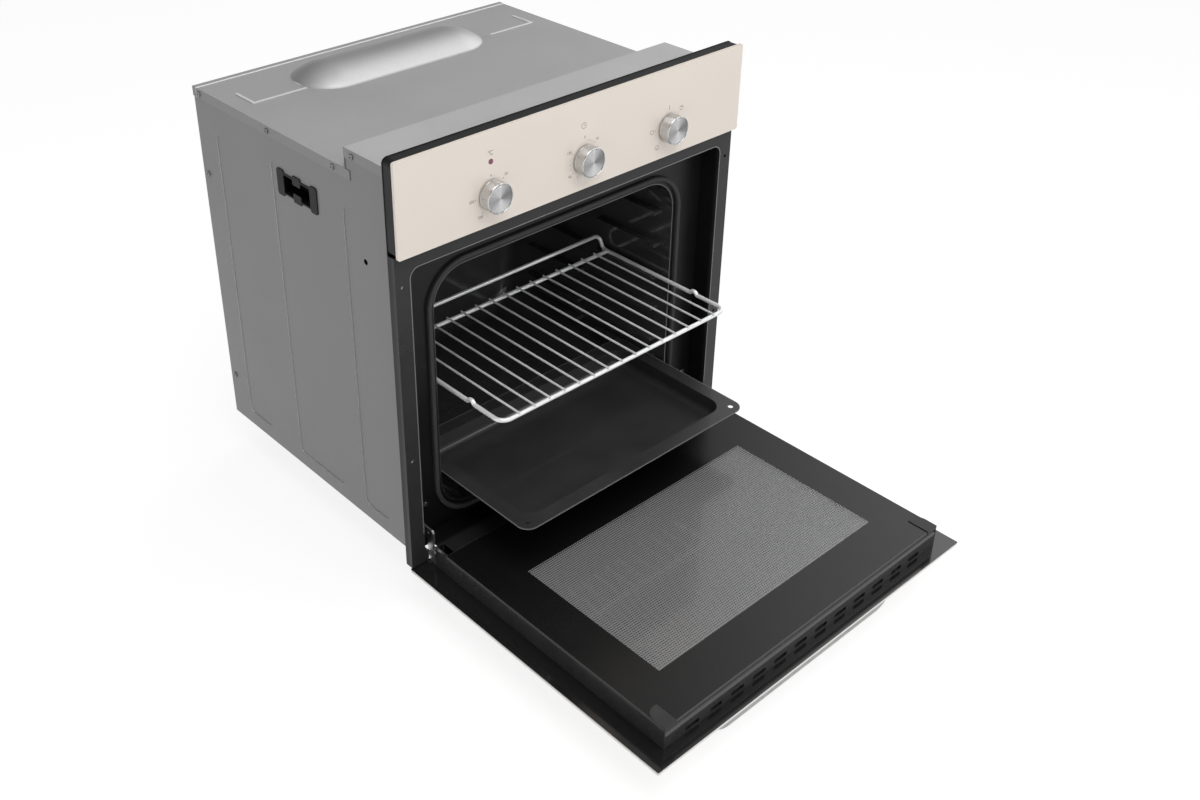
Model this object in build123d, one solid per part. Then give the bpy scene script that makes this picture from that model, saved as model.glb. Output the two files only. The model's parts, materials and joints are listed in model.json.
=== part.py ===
from build123d import *
import os

# A built-in electric oven, shown with its door open and its rack and tray drawn out.
# Millimetres. The front faces -Y, +X is to the right as seen from the front, Z is up.
# The origin is the centre of the base's underside.

# A slot's or ridge's end radius as a share of its width
end_round = 0.49

# Overall sizes that the rest follows
front_width = 595.0
front_height = 595.0
body_depth = 470.0

# Casing, behind the cabinet's front
body_side_gap = 20.5
front_above_step = 27.0
step_rise = 28.0
step_depth = 106.0
sheet = 1.0
cover_flange = 13.0
cover_lap = 10.0
rear_flange = 22.0
base_flange = 15.0

# Front frame and the recess that the door closes into
frame_sheet = 1.2
frame_reach = 13.0
recess_depth = 20.0
recess_bottom = 12.0
recess_below_panel = 22.0
recess_corner = 14.0
cabinet_hole_inset = 10.5
cabinet_hole_low = 172.0
cabinet_hole_below_panel = 42.0
cabinet_hole_r = 2.5

# Cavity
mouth_inset = 59.0
mouth_bottom = 36.0
mouth_below_recess = 42.0
mouth_corner = 50.0
room_behind_cavity = 80.0
cavity_edge_r = 20.0
liner_sheet = 1.0

# Guide ridges pressed into the cavity's side walls
guide_reach = 14.0
guide_thick = 8.0
guide_head_room = 60.3
guide_foot_room = 93.7
tray_guide_rise = 59.7
guide_start = 20.0
guide_length = 125.0
guide_gap = 35.0
guide_clearance = 0.3
guides_above_rack = 2
guides_below_rack = 2

# Door seal
seal_offset = 6.0
seal_width = 7.0
seal_thick = 5.6
seal_round = 2.6

# Insulation
wool_thick = 29.0
wool_rear = 26.0
element_space = 10.0
element_space_margin = 12.0

# Heating elements
tube_r = 3.3
tube_bend = 30.0
element_side_gap = 38.0
element_inner = 40.0
element_front = 70.0
element_rear_gap = 45.0
element_tail = 24.0
top_element_drop = 24.0
clip_thick = 1.5
clip_width = 14.0
clip_spacing = 120.0

# Oven lamp in the rear wall
lamp_side_gap = 88.0
lamp_below_roof = 76.0
lamp_glass_r = 24.0
lamp_glass_reach = 22.0
lamp_glass_wall = 2.5
lamp_glass_round = 7.5
lamp_holder_r = 19.0
lamp_holder_length = 44.0
lamp_bulb_r = 9.0
lamp_bulb_reach = 12.0
lamp_bulb_neck_r = 5.0

# Control panel
panel_height = 125.0
panel_glass_thick = 4.0
panel_depth = 22.0
panel_corner = 3.0
carrier_sheet = 1.2
carrier_inset = 0.6
carrier_corner = 8.0
knob_side_gap = 142.5
knob_rise = 42.0
knob_r = 20.0
knob_rim = 1.5
knob_length = 16.0
knob_gap = 2.0
knob_dish = 0.8
knob_socket = 4.0
shaft_r = 3.0
shaft_clearance = 0.05
shaft_depth = 25.0
shaft_hole_r = 5.0
control_size = 44.0
control_depth = 42.0
control_corner = 3.0
shaft_opening_r = 8.0
lens_r = 3.5
lens_above_knob = 43.0
lens_proud = 0.4
lens_head = 1.6

# Terminal block and cable gland at the rear
terminal_side_gap = 77.0
terminal_below_top = 50.0
terminal_width = 60.0
terminal_height = 34.0
terminal_depth = 28.0
terminal_corner = 3.0
gland_r = 10.0
gland_flange_r = 14.0
gland_flange = 3.0
gland_bore_r = 5.0
gland_length = 16.0

# Rear louvres
louvre_count = 9
louvre_pitch = 24.0
louvre_width = 6.0
louvre_length = 90.0
louvre_z = 100.0

# Carrying recesses in the side panels
grip_front = 181.0
grip_length = 84.0
grip_below_top = 87.0
grip_height = 30.0
grip_depth = 24.0
grip_wall = 2.0
grip_lip = 4.0
grip_lip_thick = 1.5
grip_corner = 5.0
grip_end = 16.0
grip_tab = 18.0
grip_tab_drop = 7.0

# Fields pressed into the side panels
field_depth = 1.2
field_corner = 12.0
field_bottom = 22.0
front_field_start = 61.0
front_field_end = 120.0
front_field_below_top = 54.0
middle_field_start = 168.0
middle_field_end = 284.0
middle_field_below_top = 46.0
rear_field_length = 63.0
rear_field_inset = 47.0
rear_field_below_top = 54.0
side_hole_y = 78.0
side_hole_below_top = 118.0
side_hole_r = 4.0

# Top cover
bulge_left = -167.0
bulge_right = 151.0
bulge_width = 113.0
bulge_inset = 32.0
bulge_height = 20.0
rib_width = 4.0
rib_height = 1.2
rib_inset = 113.0
rib_side_gap = 27.0
rib_leg = 48.0
hem_width = 9.0
hem_height = 0.8

# Casing screws
screw_r = 1.8
screw_head_r = 4.2
screw_head = 2.0
screw_head_round = 0.9
screw_reach = 5.0
flange_screw_drop = 7.0
flange_screw_front = 133.0
flange_screw_middle = 282.0
flange_screw_inset = 15.0
step_screw_y = 90.0
step_screw_drop = 8.0
rear_screw_inset = 12.0
rear_screw_low = 72.0
rear_screw_below_top = 128.0
frame_screw_inset = 30.0
frame_screw_z = 63.0
frame_screw_head_r = 4.0
frame_screw_head = 2.0

# Door
door_swing = 90.0
door_bottom = 6.0
door_panel_gap = 4.0
door_glass = 4.0
door_corner = 2.0
door_side_gap = 6.8
door_inner_bottom = 24.0
door_top_gap = 2.0
door_seal_gap = 0.4
inner_glass = 4.0
inner_glass_bottom = 48.0
inner_glass_inset = 1.2
pivot_behind_glass = 10.0
profile_sheet = 1.2
profile_flange = 18.0
end_shoulder = 10.0
pane_ledge = 18.0
vent_count = 12
vent_end_gap = 48.0
vent_length = 24.0
vent_width = 7.0
vent_rise = 5.5
cap_width = 20.0
cap_depth = 18.0
cap_lobe_r = 15.0
glass_rebate = 26.0

# Door handle
handle_end_gap = 107.5
handle_foot = 28.0
handle_stand_off = 41.0
handle_r = 7.0
handle_bend = 26.0
handle_from_top = 27.0
handle_screw_r = 2.5
handle_screw_inset = 3.0
handle_screw_reach = 9.0
handle_screw_head_r = 5.0
handle_screw_head = 2.6
handle_screw_room = 0.4

# Door hinges
hinge_inset = 7.0
arm_thick = 3.0
arm_bar = 18.0
arm_bar_bottom = 26.0
arm_front = 7.0
arm_eye_r = 5.5
arm_corner = 5.0
arm_tail = 30.0
pin_r = 2.5
pin_clearance = 0.08
pin_head_r = 4.0
pin_head = 1.0
case_width = 11.6
case_wall = 1.2
case_depth = 18.0
case_length = 118.0
case_start = 6.0
lug_r = 6.0
notch_half = 8.5
notch_back = 2.0
notch_margin = 1.5
slot_half = 4.0
slot_margin = 3.0
receiver_wall = 1.5
receiver_half = 6.0
receiver_length = 40.0
receiver_margin = 6.0
roller_r = 4.0
roller_setback = 20.0

# Wire rack
rack_side_gap = 6.0
rack_front = -99.0
rack_back = 150.0
rail_r = 3.0
wire_r = 1.5
wire_count = 15
wire_end_gap = 30.0
wire_sink = 0.6
rack_corner = 14.0
back_rail_rise = 20.0
back_rail_back = 10.0
back_rail_bend = 10.0
stop_y = -32.0
stop_height = 4.0
stop_top = 5.0
stop_bend = 4.0

# Baking tray
tray_side_gap = 6.0
tray_front = -148.0
tray_back = 113.0
tray_sheet = 1.0
tray_rim = 22.0
tray_depth = 26.0
tray_corner = 18.0
tray_well_corner = 24.0
tray_floor_r = 9.0
tray_hole_r = 4.0
tray_hole_inset = 15.0

# Named planes. The niche plane is where the frame meets the cabinet.
niche_y = -body_depth / 2
rear_y = body_depth / 2
front_half = front_width / 2
body_half = front_half - body_side_gap
step_height = front_height - front_above_step
body_height = step_height - step_rise
panel_bottom = front_height - panel_height
recess_top = panel_bottom - recess_below_panel
mouth_half = body_half - mouth_inset
mouth_top = recess_top - mouth_below_recess
cavity_end = body_depth - room_behind_cavity
frame_face_y = niche_y - frame_reach
panel_front_y = niche_y - panel_depth
glass_back_y = panel_front_y + panel_glass_thick
recess_y = niche_y + recess_depth
frame_back_y = recess_y + frame_sheet
recess_half = body_half - sheet - frame_sheet
cavity_end_y = niche_y + cavity_end
liner_back_y = cavity_end_y + liner_sheet
step_y = niche_y + step_depth
panel_inner_x = body_half - sheet
cabinet_hole_x = front_half - cabinet_hole_inset
cabinet_hole_high = panel_bottom - cabinet_hole_below_panel
frame_screw_x = body_half - frame_screw_inset
grip_bottom = body_height - grip_below_top
front_field_top = body_height - front_field_below_top
middle_field_top = body_height - middle_field_below_top
rear_field_end = body_depth - rear_field_inset
rear_field_start = rear_field_end - rear_field_length
rear_field_top = body_height - rear_field_below_top
side_hole_z = body_height - side_hole_below_top
bulge_back = body_depth - bulge_inset
bulge_front = bulge_back - bulge_width
bulge_start = bulge_left + bulge_width / 2
bulge_end = bulge_right - bulge_width / 2
bulge_arc_r = ((bulge_width / 2) ** 2 + bulge_height ** 2) / (2 * bulge_height)
rib_y = body_depth - rib_inset
rib_outer = body_half - rib_side_gap
flange_screw_ys = (flange_screw_front, flange_screw_middle, body_depth - flange_screw_inset)
rear_screw_zs = (rear_screw_low, body_height - rear_screw_below_top)
terminal_x = body_half - terminal_side_gap
terminal_z = body_height - terminal_below_top
door_top = panel_bottom - door_panel_gap
door_front_y = panel_front_y
door_glass_y = door_front_y + door_glass
door_back_y = recess_y - seal_thick - door_seal_gap
door_inner_half = recess_half - door_side_gap
door_inner_top = recess_top - door_top_gap
vent_pitch = 2 * (door_inner_half - vent_end_gap) / (vent_count - 1)
hinge_x = door_inner_half - hinge_inset
handle_half = front_half - handle_end_gap
inner_glass_y = door_back_y - inner_glass
pivot_y = door_glass_y + pivot_behind_glass
pivot_z = door_bottom
door_pivot = Axis((0, pivot_y, pivot_z), (1, 0, 0))
knob_spacing = front_half - knob_side_gap
knob_xs = (-knob_spacing, 0.0, knob_spacing)
knob_z = panel_bottom + knob_rise
lens_z = knob_z + lens_above_knob
guide_inner = mouth_half - guide_reach
guide_steps = guides_above_rack + guides_below_rack
guide_pitch = (mouth_top - mouth_bottom - guide_head_room - guide_foot_room) / guide_steps
rack_guide_top = mouth_bottom + guide_foot_room + guides_below_rack * guide_pitch
rack_z = rack_guide_top + guide_clearance + rail_r
rack_half = mouth_half - rack_side_gap
wire_pitch = 2 * (rack_half - wire_end_gap) / (wire_count - 1)
tray_guide_top = mouth_bottom + tray_guide_rise
tray_rim_z = tray_guide_top + guide_clearance + tray_sheet
tray_half = mouth_half - tray_side_gap
element_half = mouth_half - element_side_gap
element_back = cavity_end - element_rear_gap
lamp_x = lamp_side_gap - mouth_half
lamp_z = mouth_top - lamp_below_roof
top_element_z = mouth_top - top_element_drop
bottom_element_z = mouth_bottom - liner_sheet - tube_r
wool_half = mouth_half + liner_sheet + wool_thick
wool_top = mouth_top + liner_sheet + wool_thick
wool_back_y = liner_back_y + wool_rear
field_floor_x = body_half - field_depth
handle_z = door_top - handle_from_top
arm_bar_top = arm_bar_bottom + arm_bar


def block(x0, x1, y0, y1, z0, z1):
    """A box between two corners."""
    middle = Pos((x0 + x1) / 2, (y0 + y1) / 2, (z0 + z1) / 2)
    return middle * Box(x1 - x0, y1 - y0, z1 - z0)


def outline(length, height, corner):
    """A rectangle, with rounded corners if a radius is given."""
    if corner > 0:
        return RectangleRounded(length, height, corner)
    return Rectangle(length, height)


def slab_x(x0, x1, y0, y1, z0, z1, corner=0.0):
    """A slab lying in the YZ plane with rounded corners."""
    plane = Plane(origin=(x0, (y0 + y1) / 2, (z0 + z1) / 2), x_dir=(0, 1, 0), z_dir=(1, 0, 0))
    return extrude(plane * outline(y1 - y0, z1 - z0, corner), amount=x1 - x0)


def slab_y(x0, x1, y0, y1, z0, z1, corner=0.0):
    """A slab lying in the XZ plane with rounded corners."""
    plane = Plane(origin=((x0 + x1) / 2, y1, (z0 + z1) / 2), x_dir=(1, 0, 0), z_dir=(0, -1, 0))
    return extrude(plane * outline(x1 - x0, z1 - z0, corner), amount=y1 - y0)


def slab_z(x0, x1, y0, y1, z0, z1, corner=0.0):
    """A slab lying in the XY plane with rounded corners."""
    plane = Plane(origin=((x0 + x1) / 2, (y0 + y1) / 2, z0), x_dir=(1, 0, 0), z_dir=(0, 0, 1))
    return extrude(plane * outline(x1 - x0, y1 - y0, corner), amount=z1 - z0)


def rod_x(y, z, radius, x0, x1):
    """A round bar along X."""
    return extrude(Plane(origin=(x0, y, z), z_dir=(1, 0, 0)) * Circle(radius), amount=x1 - x0)


def rod_y(x, z, radius, y0, y1):
    """A round bar along Y."""
    return extrude(Plane(origin=(x, y0, z), z_dir=(0, 1, 0)) * Circle(radius), amount=y1 - y0)


def rod_z(x, y, radius, z0, z1):
    """A round bar along Z."""
    return extrude(Plane(origin=(x, y, z0), z_dir=(0, 0, 1)) * Circle(radius), amount=z1 - z0)


def bent_rod(points, radius, bend):
    """A round bar along straight runs joined by arcs."""
    path = FilletPolyline(*points, radius=bend)
    return sweep(Plane(origin=path @ 0, z_dir=path % 0) * Circle(radius), path=path)


def mirrored(shape):
    """The same piece on the other side of the oven."""
    return mirror(shape, about=Plane.YZ)


def both_sides(shape):
    """A group of two like pieces, one on each side."""
    return Compound(children=[shape, mirrored(shape)])


def opened(shape):
    """A door piece, drawn in the closed place, swung down to the open place."""
    return shape.rotate(door_pivot, door_swing)


# Screws through the casing's sides, on the +X side

def side_screw_places():
    """Distance along Y, height and the face each head sits on."""
    places = []
    for y in flange_screw_ys:
        places.append((niche_y + y, body_height - flange_screw_drop, body_half + sheet))
    places.append((niche_y + step_screw_y, step_height - step_screw_drop, body_half + sheet))
    for z in rear_screw_zs:
        places.append((rear_y - rear_screw_inset, z, body_half))
    return places


def side_screw_holes():
    """The holes that the casing screws pass through, on both sides."""
    holes = []
    for y, z, _ in side_screw_places():
        holes.append(rod_x(y, z, screw_r, -front_half, front_half))
    return holes


def casing_screws():
    """Pan-head screws on both sides of the casing."""
    screws = []
    for y, z, face in side_screw_places():
        head = rod_x(y, z, screw_head_r, face, face + screw_head)
        head = fillet(head.faces().sort_by(Axis.X)[-1].edges(), screw_head_round)
        screw = head + rod_x(y, z, screw_r, face - screw_reach, face)
        screws.append(screw)
        screws.append(mirrored(screw))
    return Compound(children=screws)


# Casing

def base_panel():
    """The floor of the casing, turned up at the front against the frame."""
    floor = block(-panel_inner_x, panel_inner_x, frame_back_y, rear_y - sheet, 0, sheet)
    lip = block(-panel_inner_x, panel_inner_x, frame_back_y, frame_back_y + sheet, 0, base_flange)
    return floor + lip


def grip_opening():
    """The cut for the carrying recess in the +X side panel."""
    return slab_x(field_floor_x - sheet, body_half, niche_y + grip_front, niche_y + grip_front + grip_length,
                  grip_bottom, grip_bottom + grip_height, grip_corner)


def pressed_field(start, end, top):
    """Outside and inside of one pressed field of the +X side panel."""
    outer = slab_x(field_floor_x - sheet, body_half, niche_y + start, niche_y + end,
                   field_bottom, top, field_corner)
    inner = slab_x(field_floor_x, body_half, niche_y + start + sheet, niche_y + end - sheet,
                   field_bottom + sheet, top - sheet, field_corner - sheet)
    return outer, inner


def side_panel():
    """The +X side of the casing, stepped at the top, with two pressed fields."""
    low = block(panel_inner_x, body_half, niche_y, rear_y, 0, body_height - sheet)
    high = block(panel_inner_x, body_half, niche_y, step_y - sheet, 0, step_height - sheet)
    panel = low + high
    fields = (pressed_field(front_field_start, front_field_end, front_field_top),
              pressed_field(middle_field_start, middle_field_end, middle_field_top),
              pressed_field(rear_field_start, rear_field_end, rear_field_top))
    for outer, inner in fields:
        panel = panel + outer
        panel = panel - inner
    panel = panel - grip_opening()
    panel = panel - rod_x(niche_y + side_hole_y, side_hole_z, side_hole_r, field_floor_x - sheet, body_half)
    for hole in side_screw_holes():
        panel = panel - hole
    return panel


def rear_panel():
    """The back of the casing with louvres, side flanges and the cable's hole."""
    panel = block(-panel_inner_x, panel_inner_x, rear_y - sheet, rear_y, 0, body_height - sheet)
    flange = block(panel_inner_x - sheet, panel_inner_x, rear_y - rear_flange, rear_y - sheet,
                   sheet, body_height - sheet)
    panel = panel + flange + mirrored(flange)
    for index in range(louvre_count):
        x = (index - (louvre_count - 1) / 2) * louvre_pitch
        panel = panel - slab_y(x - louvre_width / 2, x + louvre_width / 2, rear_y - sheet, rear_y,
                               louvre_z, louvre_z + louvre_length, louvre_width * end_round)
    panel = panel - rod_y(terminal_x, terminal_z, gland_r, rear_y - sheet, rear_y)
    for hole in side_screw_holes():
        panel = panel - hole
    return panel


def bulge_form(arc_r, foot_z):
    """The pressed bulge as a solid, arched from front to back and domed at both ends, above a level foot."""
    y = niche_y + (bulge_front + bulge_back) / 2
    z = body_height + bulge_height - bulge_arc_r
    across = (y - arc_r, y + arc_r, foot_z, z + 2 * arc_r)
    form = rod_x(y, z, arc_r, bulge_start, bulge_end) & block(bulge_start, bulge_end, *across)
    for x, start in ((bulge_start, bulge_start - arc_r), (bulge_end, bulge_end)):
        dome = Pos(x, y, z) * Sphere(arc_r)
        form = form + (dome & block(start, start + arc_r, *across))
    return form


def top_cover():
    """The rear top sheet, turned down at the sides and back, with a pressed bulge."""
    outer_x = body_half + sheet
    start_y = step_y - cover_lap
    cover = block(-outer_x, outer_x, step_y - sheet, rear_y + sheet, body_height - sheet, body_height)
    lap = block(-panel_inner_x, panel_inner_x, start_y, step_y, body_height - sheet, body_height)
    side = block(body_half, outer_x, start_y, rear_y + sheet, body_height - cover_flange, body_height)
    back = block(-outer_x, outer_x, rear_y, rear_y + sheet, body_height - cover_flange, body_height)
    cover = cover + lap + side + mirrored(side) + back
    cover = cover + bulge_form(bulge_arc_r, body_height)
    for x0, x1 in ((-rib_outer, bulge_start), (bulge_end, rib_outer)):
        cover = cover + slab_z(x0, x1, niche_y + rib_y, niche_y + rib_y + rib_width,
                               body_height, body_height + rib_height, rib_width * end_round)
    for x0 in (-rib_outer, rib_outer - rib_width):
        cover = cover + slab_z(x0, x0 + rib_width, niche_y + rib_y, niche_y + rib_y + rib_leg,
                               body_height, body_height + rib_height, rib_width * end_round)
    cover = cover - bulge_form(bulge_arc_r - sheet, body_height - sheet)
    cover = cover + block(-outer_x, outer_x, rear_y + sheet - hem_width, rear_y + sheet,
                          body_height, body_height + hem_height)
    for hole in side_screw_holes():
        cover = cover - hole
    return cover


def front_top_cover():
    """The raised cover over the controls, with a wall down to the rear cover."""
    outer_x = body_half + sheet
    cover = block(-outer_x, outer_x, niche_y, step_y, step_height - sheet, step_height)
    wall = block(-outer_x, outer_x, step_y - sheet, step_y, body_height, step_height)
    side = block(body_half, outer_x, niche_y, step_y, step_height - cover_flange, step_height)
    front = block(-panel_inner_x, panel_inner_x, niche_y, niche_y + sheet,
                  step_height - cover_flange, step_height)
    cover = cover + wall + side + mirrored(side) + front
    for hole in side_screw_holes():
        cover = cover - hole
    return cover


def carrying_grip():
    """The plastic recess in the +X side that the oven is carried by."""
    y0 = niche_y + grip_front
    y1 = y0 + grip_length
    z0 = grip_bottom
    z1 = grip_bottom + grip_height
    depth_x = field_floor_x - grip_depth
    lip_x = field_floor_x + grip_lip_thick
    cup = slab_x(depth_x, lip_x, y0, y1, z0, z1, grip_corner)
    hollow = slab_x(depth_x + grip_wall, lip_x, y0 + grip_wall, y1 - grip_wall,
                    z0 + grip_wall, z1 - grip_wall, grip_corner - grip_wall)
    grip = cup - hollow
    for start in (y0 - grip_lip, y1 + grip_lip - grip_end):
        grip = grip + slab_x(field_floor_x, lip_x, start, start + grip_end,
                             z0 - grip_lip, z1 + grip_lip, grip_lip)
    tab_y = (y0 + y1 - grip_tab) / 2
    for low in (z0 - grip_lip, z1 - grip_wall - grip_tab_drop):
        grip = grip + slab_x(field_floor_x, lip_x, tab_y, tab_y + grip_tab,
                             low, low + grip_lip + grip_wall + grip_tab_drop, grip_wall)
    return grip


# Front frame

def frame_screw_places():
    """X and Z of the two screws in the recess's back."""
    return ((-frame_screw_x, frame_screw_z), (frame_screw_x, frame_screw_z))


def frame_screws():
    """Screws through the recess's back, low beside the mouth."""
    screws = []
    for x, z in frame_screw_places():
        head = rod_y(x, z, frame_screw_head_r, recess_y - frame_screw_head, recess_y)
        head = fillet(head.faces().sort_by(Axis.Y)[0].edges(), screw_head_round)
        screws.append(head + rod_y(x, z, screw_r, recess_y, frame_back_y))
    return Compound(children=screws)


def hinge_notch():
    """The gap in the +X end of the sill that the hinge turns in."""
    return block(hinge_x - notch_half, hinge_x + notch_half, frame_face_y - notch_margin,
                 niche_y + notch_back, -notch_margin, recess_bottom + notch_margin)


def front_frame():
    """The enamelled frame: posts, sill, recess for the door and the upper plate."""
    rear = niche_y
    face = slab_y(-front_half, front_half, frame_face_y, frame_face_y + frame_sheet, 0, panel_bottom)
    lip_outer = slab_y(-front_half, front_half, frame_face_y, rear, 0, panel_bottom)
    lip_inner = slab_y(-front_half + frame_sheet, front_half - frame_sheet, frame_face_y, rear,
                       frame_sheet, panel_bottom - frame_sheet)
    recess = slab_y(-recess_half, recess_half, frame_face_y, recess_y, recess_bottom, recess_top,
                    recess_corner)
    shell = slab_y(-recess_half - frame_sheet, recess_half + frame_sheet, frame_face_y, frame_back_y,
                   recess_bottom - frame_sheet, recess_top + frame_sheet, recess_corner + frame_sheet)
    upper = slab_y(-front_half, front_half, rear - frame_sheet, rear, panel_bottom - carrier_corner,
                   front_height, carrier_corner)
    upper = upper + block(-front_half, front_half, rear - frame_sheet, rear, recess_top, panel_bottom)
    frame = face + (lip_outer - lip_inner) + upper + shell
    frame = frame - recess
    mouth = slab_y(-mouth_half - liner_sheet, mouth_half + liner_sheet, recess_y, frame_back_y,
                   mouth_bottom - liner_sheet, mouth_top + liner_sheet, mouth_corner + liner_sheet)
    frame = frame - mouth
    for x in knob_xs:
        frame = frame - rod_y(x, knob_z, shaft_opening_r, rear - frame_sheet, rear)
    for x in (-cabinet_hole_x, cabinet_hole_x):
        for z in (cabinet_hole_low, cabinet_hole_high):
            frame = frame - rod_y(x, z, cabinet_hole_r, frame_face_y, frame_face_y + frame_sheet)
    for x, z in frame_screw_places():
        frame = frame - rod_y(x, z, screw_r, recess_y, frame_back_y)
    slot = block(hinge_x - slot_half, hinge_x + slot_half, recess_y, frame_back_y,
                 arm_bar_bottom - slot_margin, arm_bar_top + slot_margin)
    frame = frame - hinge_notch() - mirrored(hinge_notch())
    return frame - slot - mirrored(slot)


# Cavity

def guide_levels():
    """Top of each row of guide ridges, the lowest of them under the tray's rim."""
    tops = [tray_guide_top]
    for step in range(-guides_below_rack, guides_above_rack + 1):
        tops.append(rack_guide_top + step * guide_pitch)
    return tops


def cavity_liner():
    """The enamelled box that food is cooked in, with guide ridges on its sides."""
    outer = slab_y(-mouth_half - liner_sheet, mouth_half + liner_sheet, recess_y, liner_back_y,
                   mouth_bottom - liner_sheet, mouth_top + liner_sheet, mouth_corner + liner_sheet)
    outer = fillet(outer.faces().sort_by(Axis.Y)[-1].edges(), cavity_edge_r + liner_sheet)
    inner = slab_y(-mouth_half, mouth_half, recess_y, cavity_end_y, mouth_bottom, mouth_top, mouth_corner)
    inner = fillet(inner.faces().sort_by(Axis.Y)[-1].edges(), cavity_edge_r)
    liner = outer - inner
    for top in guide_levels():
        for number in range(2):
            start = recess_y + guide_start + number * (guide_length + guide_gap)
            ridge = slab_x(guide_inner, mouth_half + liner_sheet / 2, start, start + guide_length,
                           top - guide_thick, top, guide_thick * end_round)
            liner = liner + ridge + mirrored(ridge)
    for x in (-element_inner, element_inner):
        liner = liner - rod_y(x, top_element_z, tube_r, cavity_end_y, liner_back_y)
    return liner - rod_y(lamp_x, lamp_z, lamp_holder_r, cavity_end_y, liner_back_y)


def cavity_seal():
    """The soft ring round the mouth, as thick as the closed door presses it."""
    far = seal_offset + seal_width
    ring = slab_y(-mouth_half - far, mouth_half + far, recess_y - seal_thick, recess_y,
                  mouth_bottom - far, mouth_top + far, mouth_corner + far)
    gap = slab_y(-mouth_half - seal_offset, mouth_half + seal_offset, recess_y - seal_thick, recess_y,
                 mouth_bottom - seal_offset, mouth_top + seal_offset, mouth_corner + seal_offset)
    ring = ring - gap
    return fillet(ring.faces().sort_by(Axis.Y)[0].edges(), seal_round)


def element(z):
    """A tubular heating element: a loop with both tails towards the rear."""
    back = niche_y + element_back
    front = niche_y + element_front
    tail = liner_back_y + element_tail
    points = [(-element_inner, tail, z), (-element_inner, back, z), (-element_half, back, z),
              (-element_half, front, z), (element_half, front, z), (element_half, back, z),
              (element_inner, back, z), (element_inner, tail, z)]
    return bent_rod(points, tube_r, tube_bend)


def element_clips():
    """Straps that hang the upper element from the cavity's roof."""
    y = niche_y + element_front
    clips = []
    for x in (-clip_spacing, clip_spacing):
        strap = block(x - clip_thick / 2, x + clip_thick / 2, y - clip_width / 2, y + clip_width / 2,
                      top_element_z - tube_r - clip_thick, mouth_top)
        clips.append(strap - rod_x(y, top_element_z, tube_r, x - clip_thick, x + clip_thick))
    return Compound(children=clips)


def insulation():
    """Mineral wool round the cavity, open at the front."""
    wool = block(-wool_half, wool_half, frame_back_y + sheet, wool_back_y, sheet, wool_top)
    liner = slab_y(-mouth_half - liner_sheet, mouth_half + liner_sheet, frame_back_y, liner_back_y,
                   mouth_bottom - liner_sheet, mouth_top + liner_sheet, mouth_corner + liner_sheet)
    liner = fillet(liner.faces().sort_by(Axis.Y)[-1].edges(), cavity_edge_r + liner_sheet)
    reach = element_half + element_space_margin
    floor = mouth_bottom - liner_sheet
    space = block(-reach, reach, niche_y + element_front - element_space_margin,
                  wool_back_y, floor - element_space, floor + mouth_corner)
    wool = wool - liner - space
    for x in (-element_inner, element_inner):
        wool = wool - rod_y(x, top_element_z, tube_r, cavity_end_y, wool_back_y)
    return wool - rod_y(lamp_x, lamp_z, lamp_holder_r, cavity_end_y, wool_back_y)


# Oven lamp

def lamp_holder():
    """The ceramic holder that passes through the rear wall."""
    holder = rod_y(lamp_x, lamp_z, lamp_holder_r, cavity_end_y, cavity_end_y + lamp_holder_length)
    return holder - rod_y(lamp_x, lamp_z, lamp_bulb_neck_r, cavity_end_y, cavity_end_y + lamp_bulb_reach)


def lamp_glass():
    """The glass cup over the bulb."""
    front = cavity_end_y - lamp_glass_reach
    cup = rod_y(lamp_x, lamp_z, lamp_glass_r, front, cavity_end_y)
    cup = fillet(cup.faces().sort_by(Axis.Y)[0].edges(), lamp_glass_round)
    hollow = rod_y(lamp_x, lamp_z, lamp_glass_r - lamp_glass_wall, front + lamp_glass_wall, cavity_end_y)
    hollow = fillet(hollow.faces().sort_by(Axis.Y)[0].edges(), lamp_glass_round - lamp_glass_wall)
    return cup - hollow


def lamp_bulb():
    """The bulb with its neck in the holder."""
    middle = cavity_end_y - lamp_bulb_r
    bulb = Pos(lamp_x, middle, lamp_z) * Sphere(lamp_bulb_r)
    return bulb + rod_y(lamp_x, lamp_z, lamp_bulb_neck_r, middle, cavity_end_y + lamp_bulb_reach)


# Controls

def panel_glass():
    """The glass control panel with holes for the shafts and the lens."""
    glass = slab_y(-front_half, front_half, panel_front_y, glass_back_y, panel_bottom, front_height,
                   panel_corner)
    for x in knob_xs:
        glass = glass - rod_y(x, knob_z, shaft_hole_r, panel_front_y, glass_back_y)
    return glass - rod_y(-knob_spacing, lens_z, lens_r, panel_front_y, glass_back_y)


def panel_carrier():
    """The steel tray behind the panel glass."""
    half = front_half - carrier_inset
    low = panel_bottom + carrier_inset
    high = front_height - carrier_inset
    back = niche_y - frame_sheet
    tray = slab_y(-half, half, glass_back_y, back, low, high, carrier_corner)
    hollow = slab_y(-half + carrier_sheet, half - carrier_sheet, glass_back_y + carrier_sheet, back,
                    low + carrier_sheet, high - carrier_sheet, carrier_corner - carrier_sheet)
    tray = tray - hollow
    front_back = glass_back_y + carrier_sheet
    for x in knob_xs:
        tray = tray - rod_y(x, knob_z, shaft_opening_r, glass_back_y, front_back)
    return tray - rod_y(-knob_spacing, lens_z, lens_r, glass_back_y, front_back)


def indicator_lens():
    """The thermostat's signal lens, pushed through the panel from behind."""
    front_back = glass_back_y + carrier_sheet
    stem = rod_y(-knob_spacing, lens_z, lens_r, panel_front_y - lens_proud, front_back)
    head = rod_y(-knob_spacing, lens_z, lens_r + lens_head, front_back, front_back + lens_head)
    return stem + head


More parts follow.
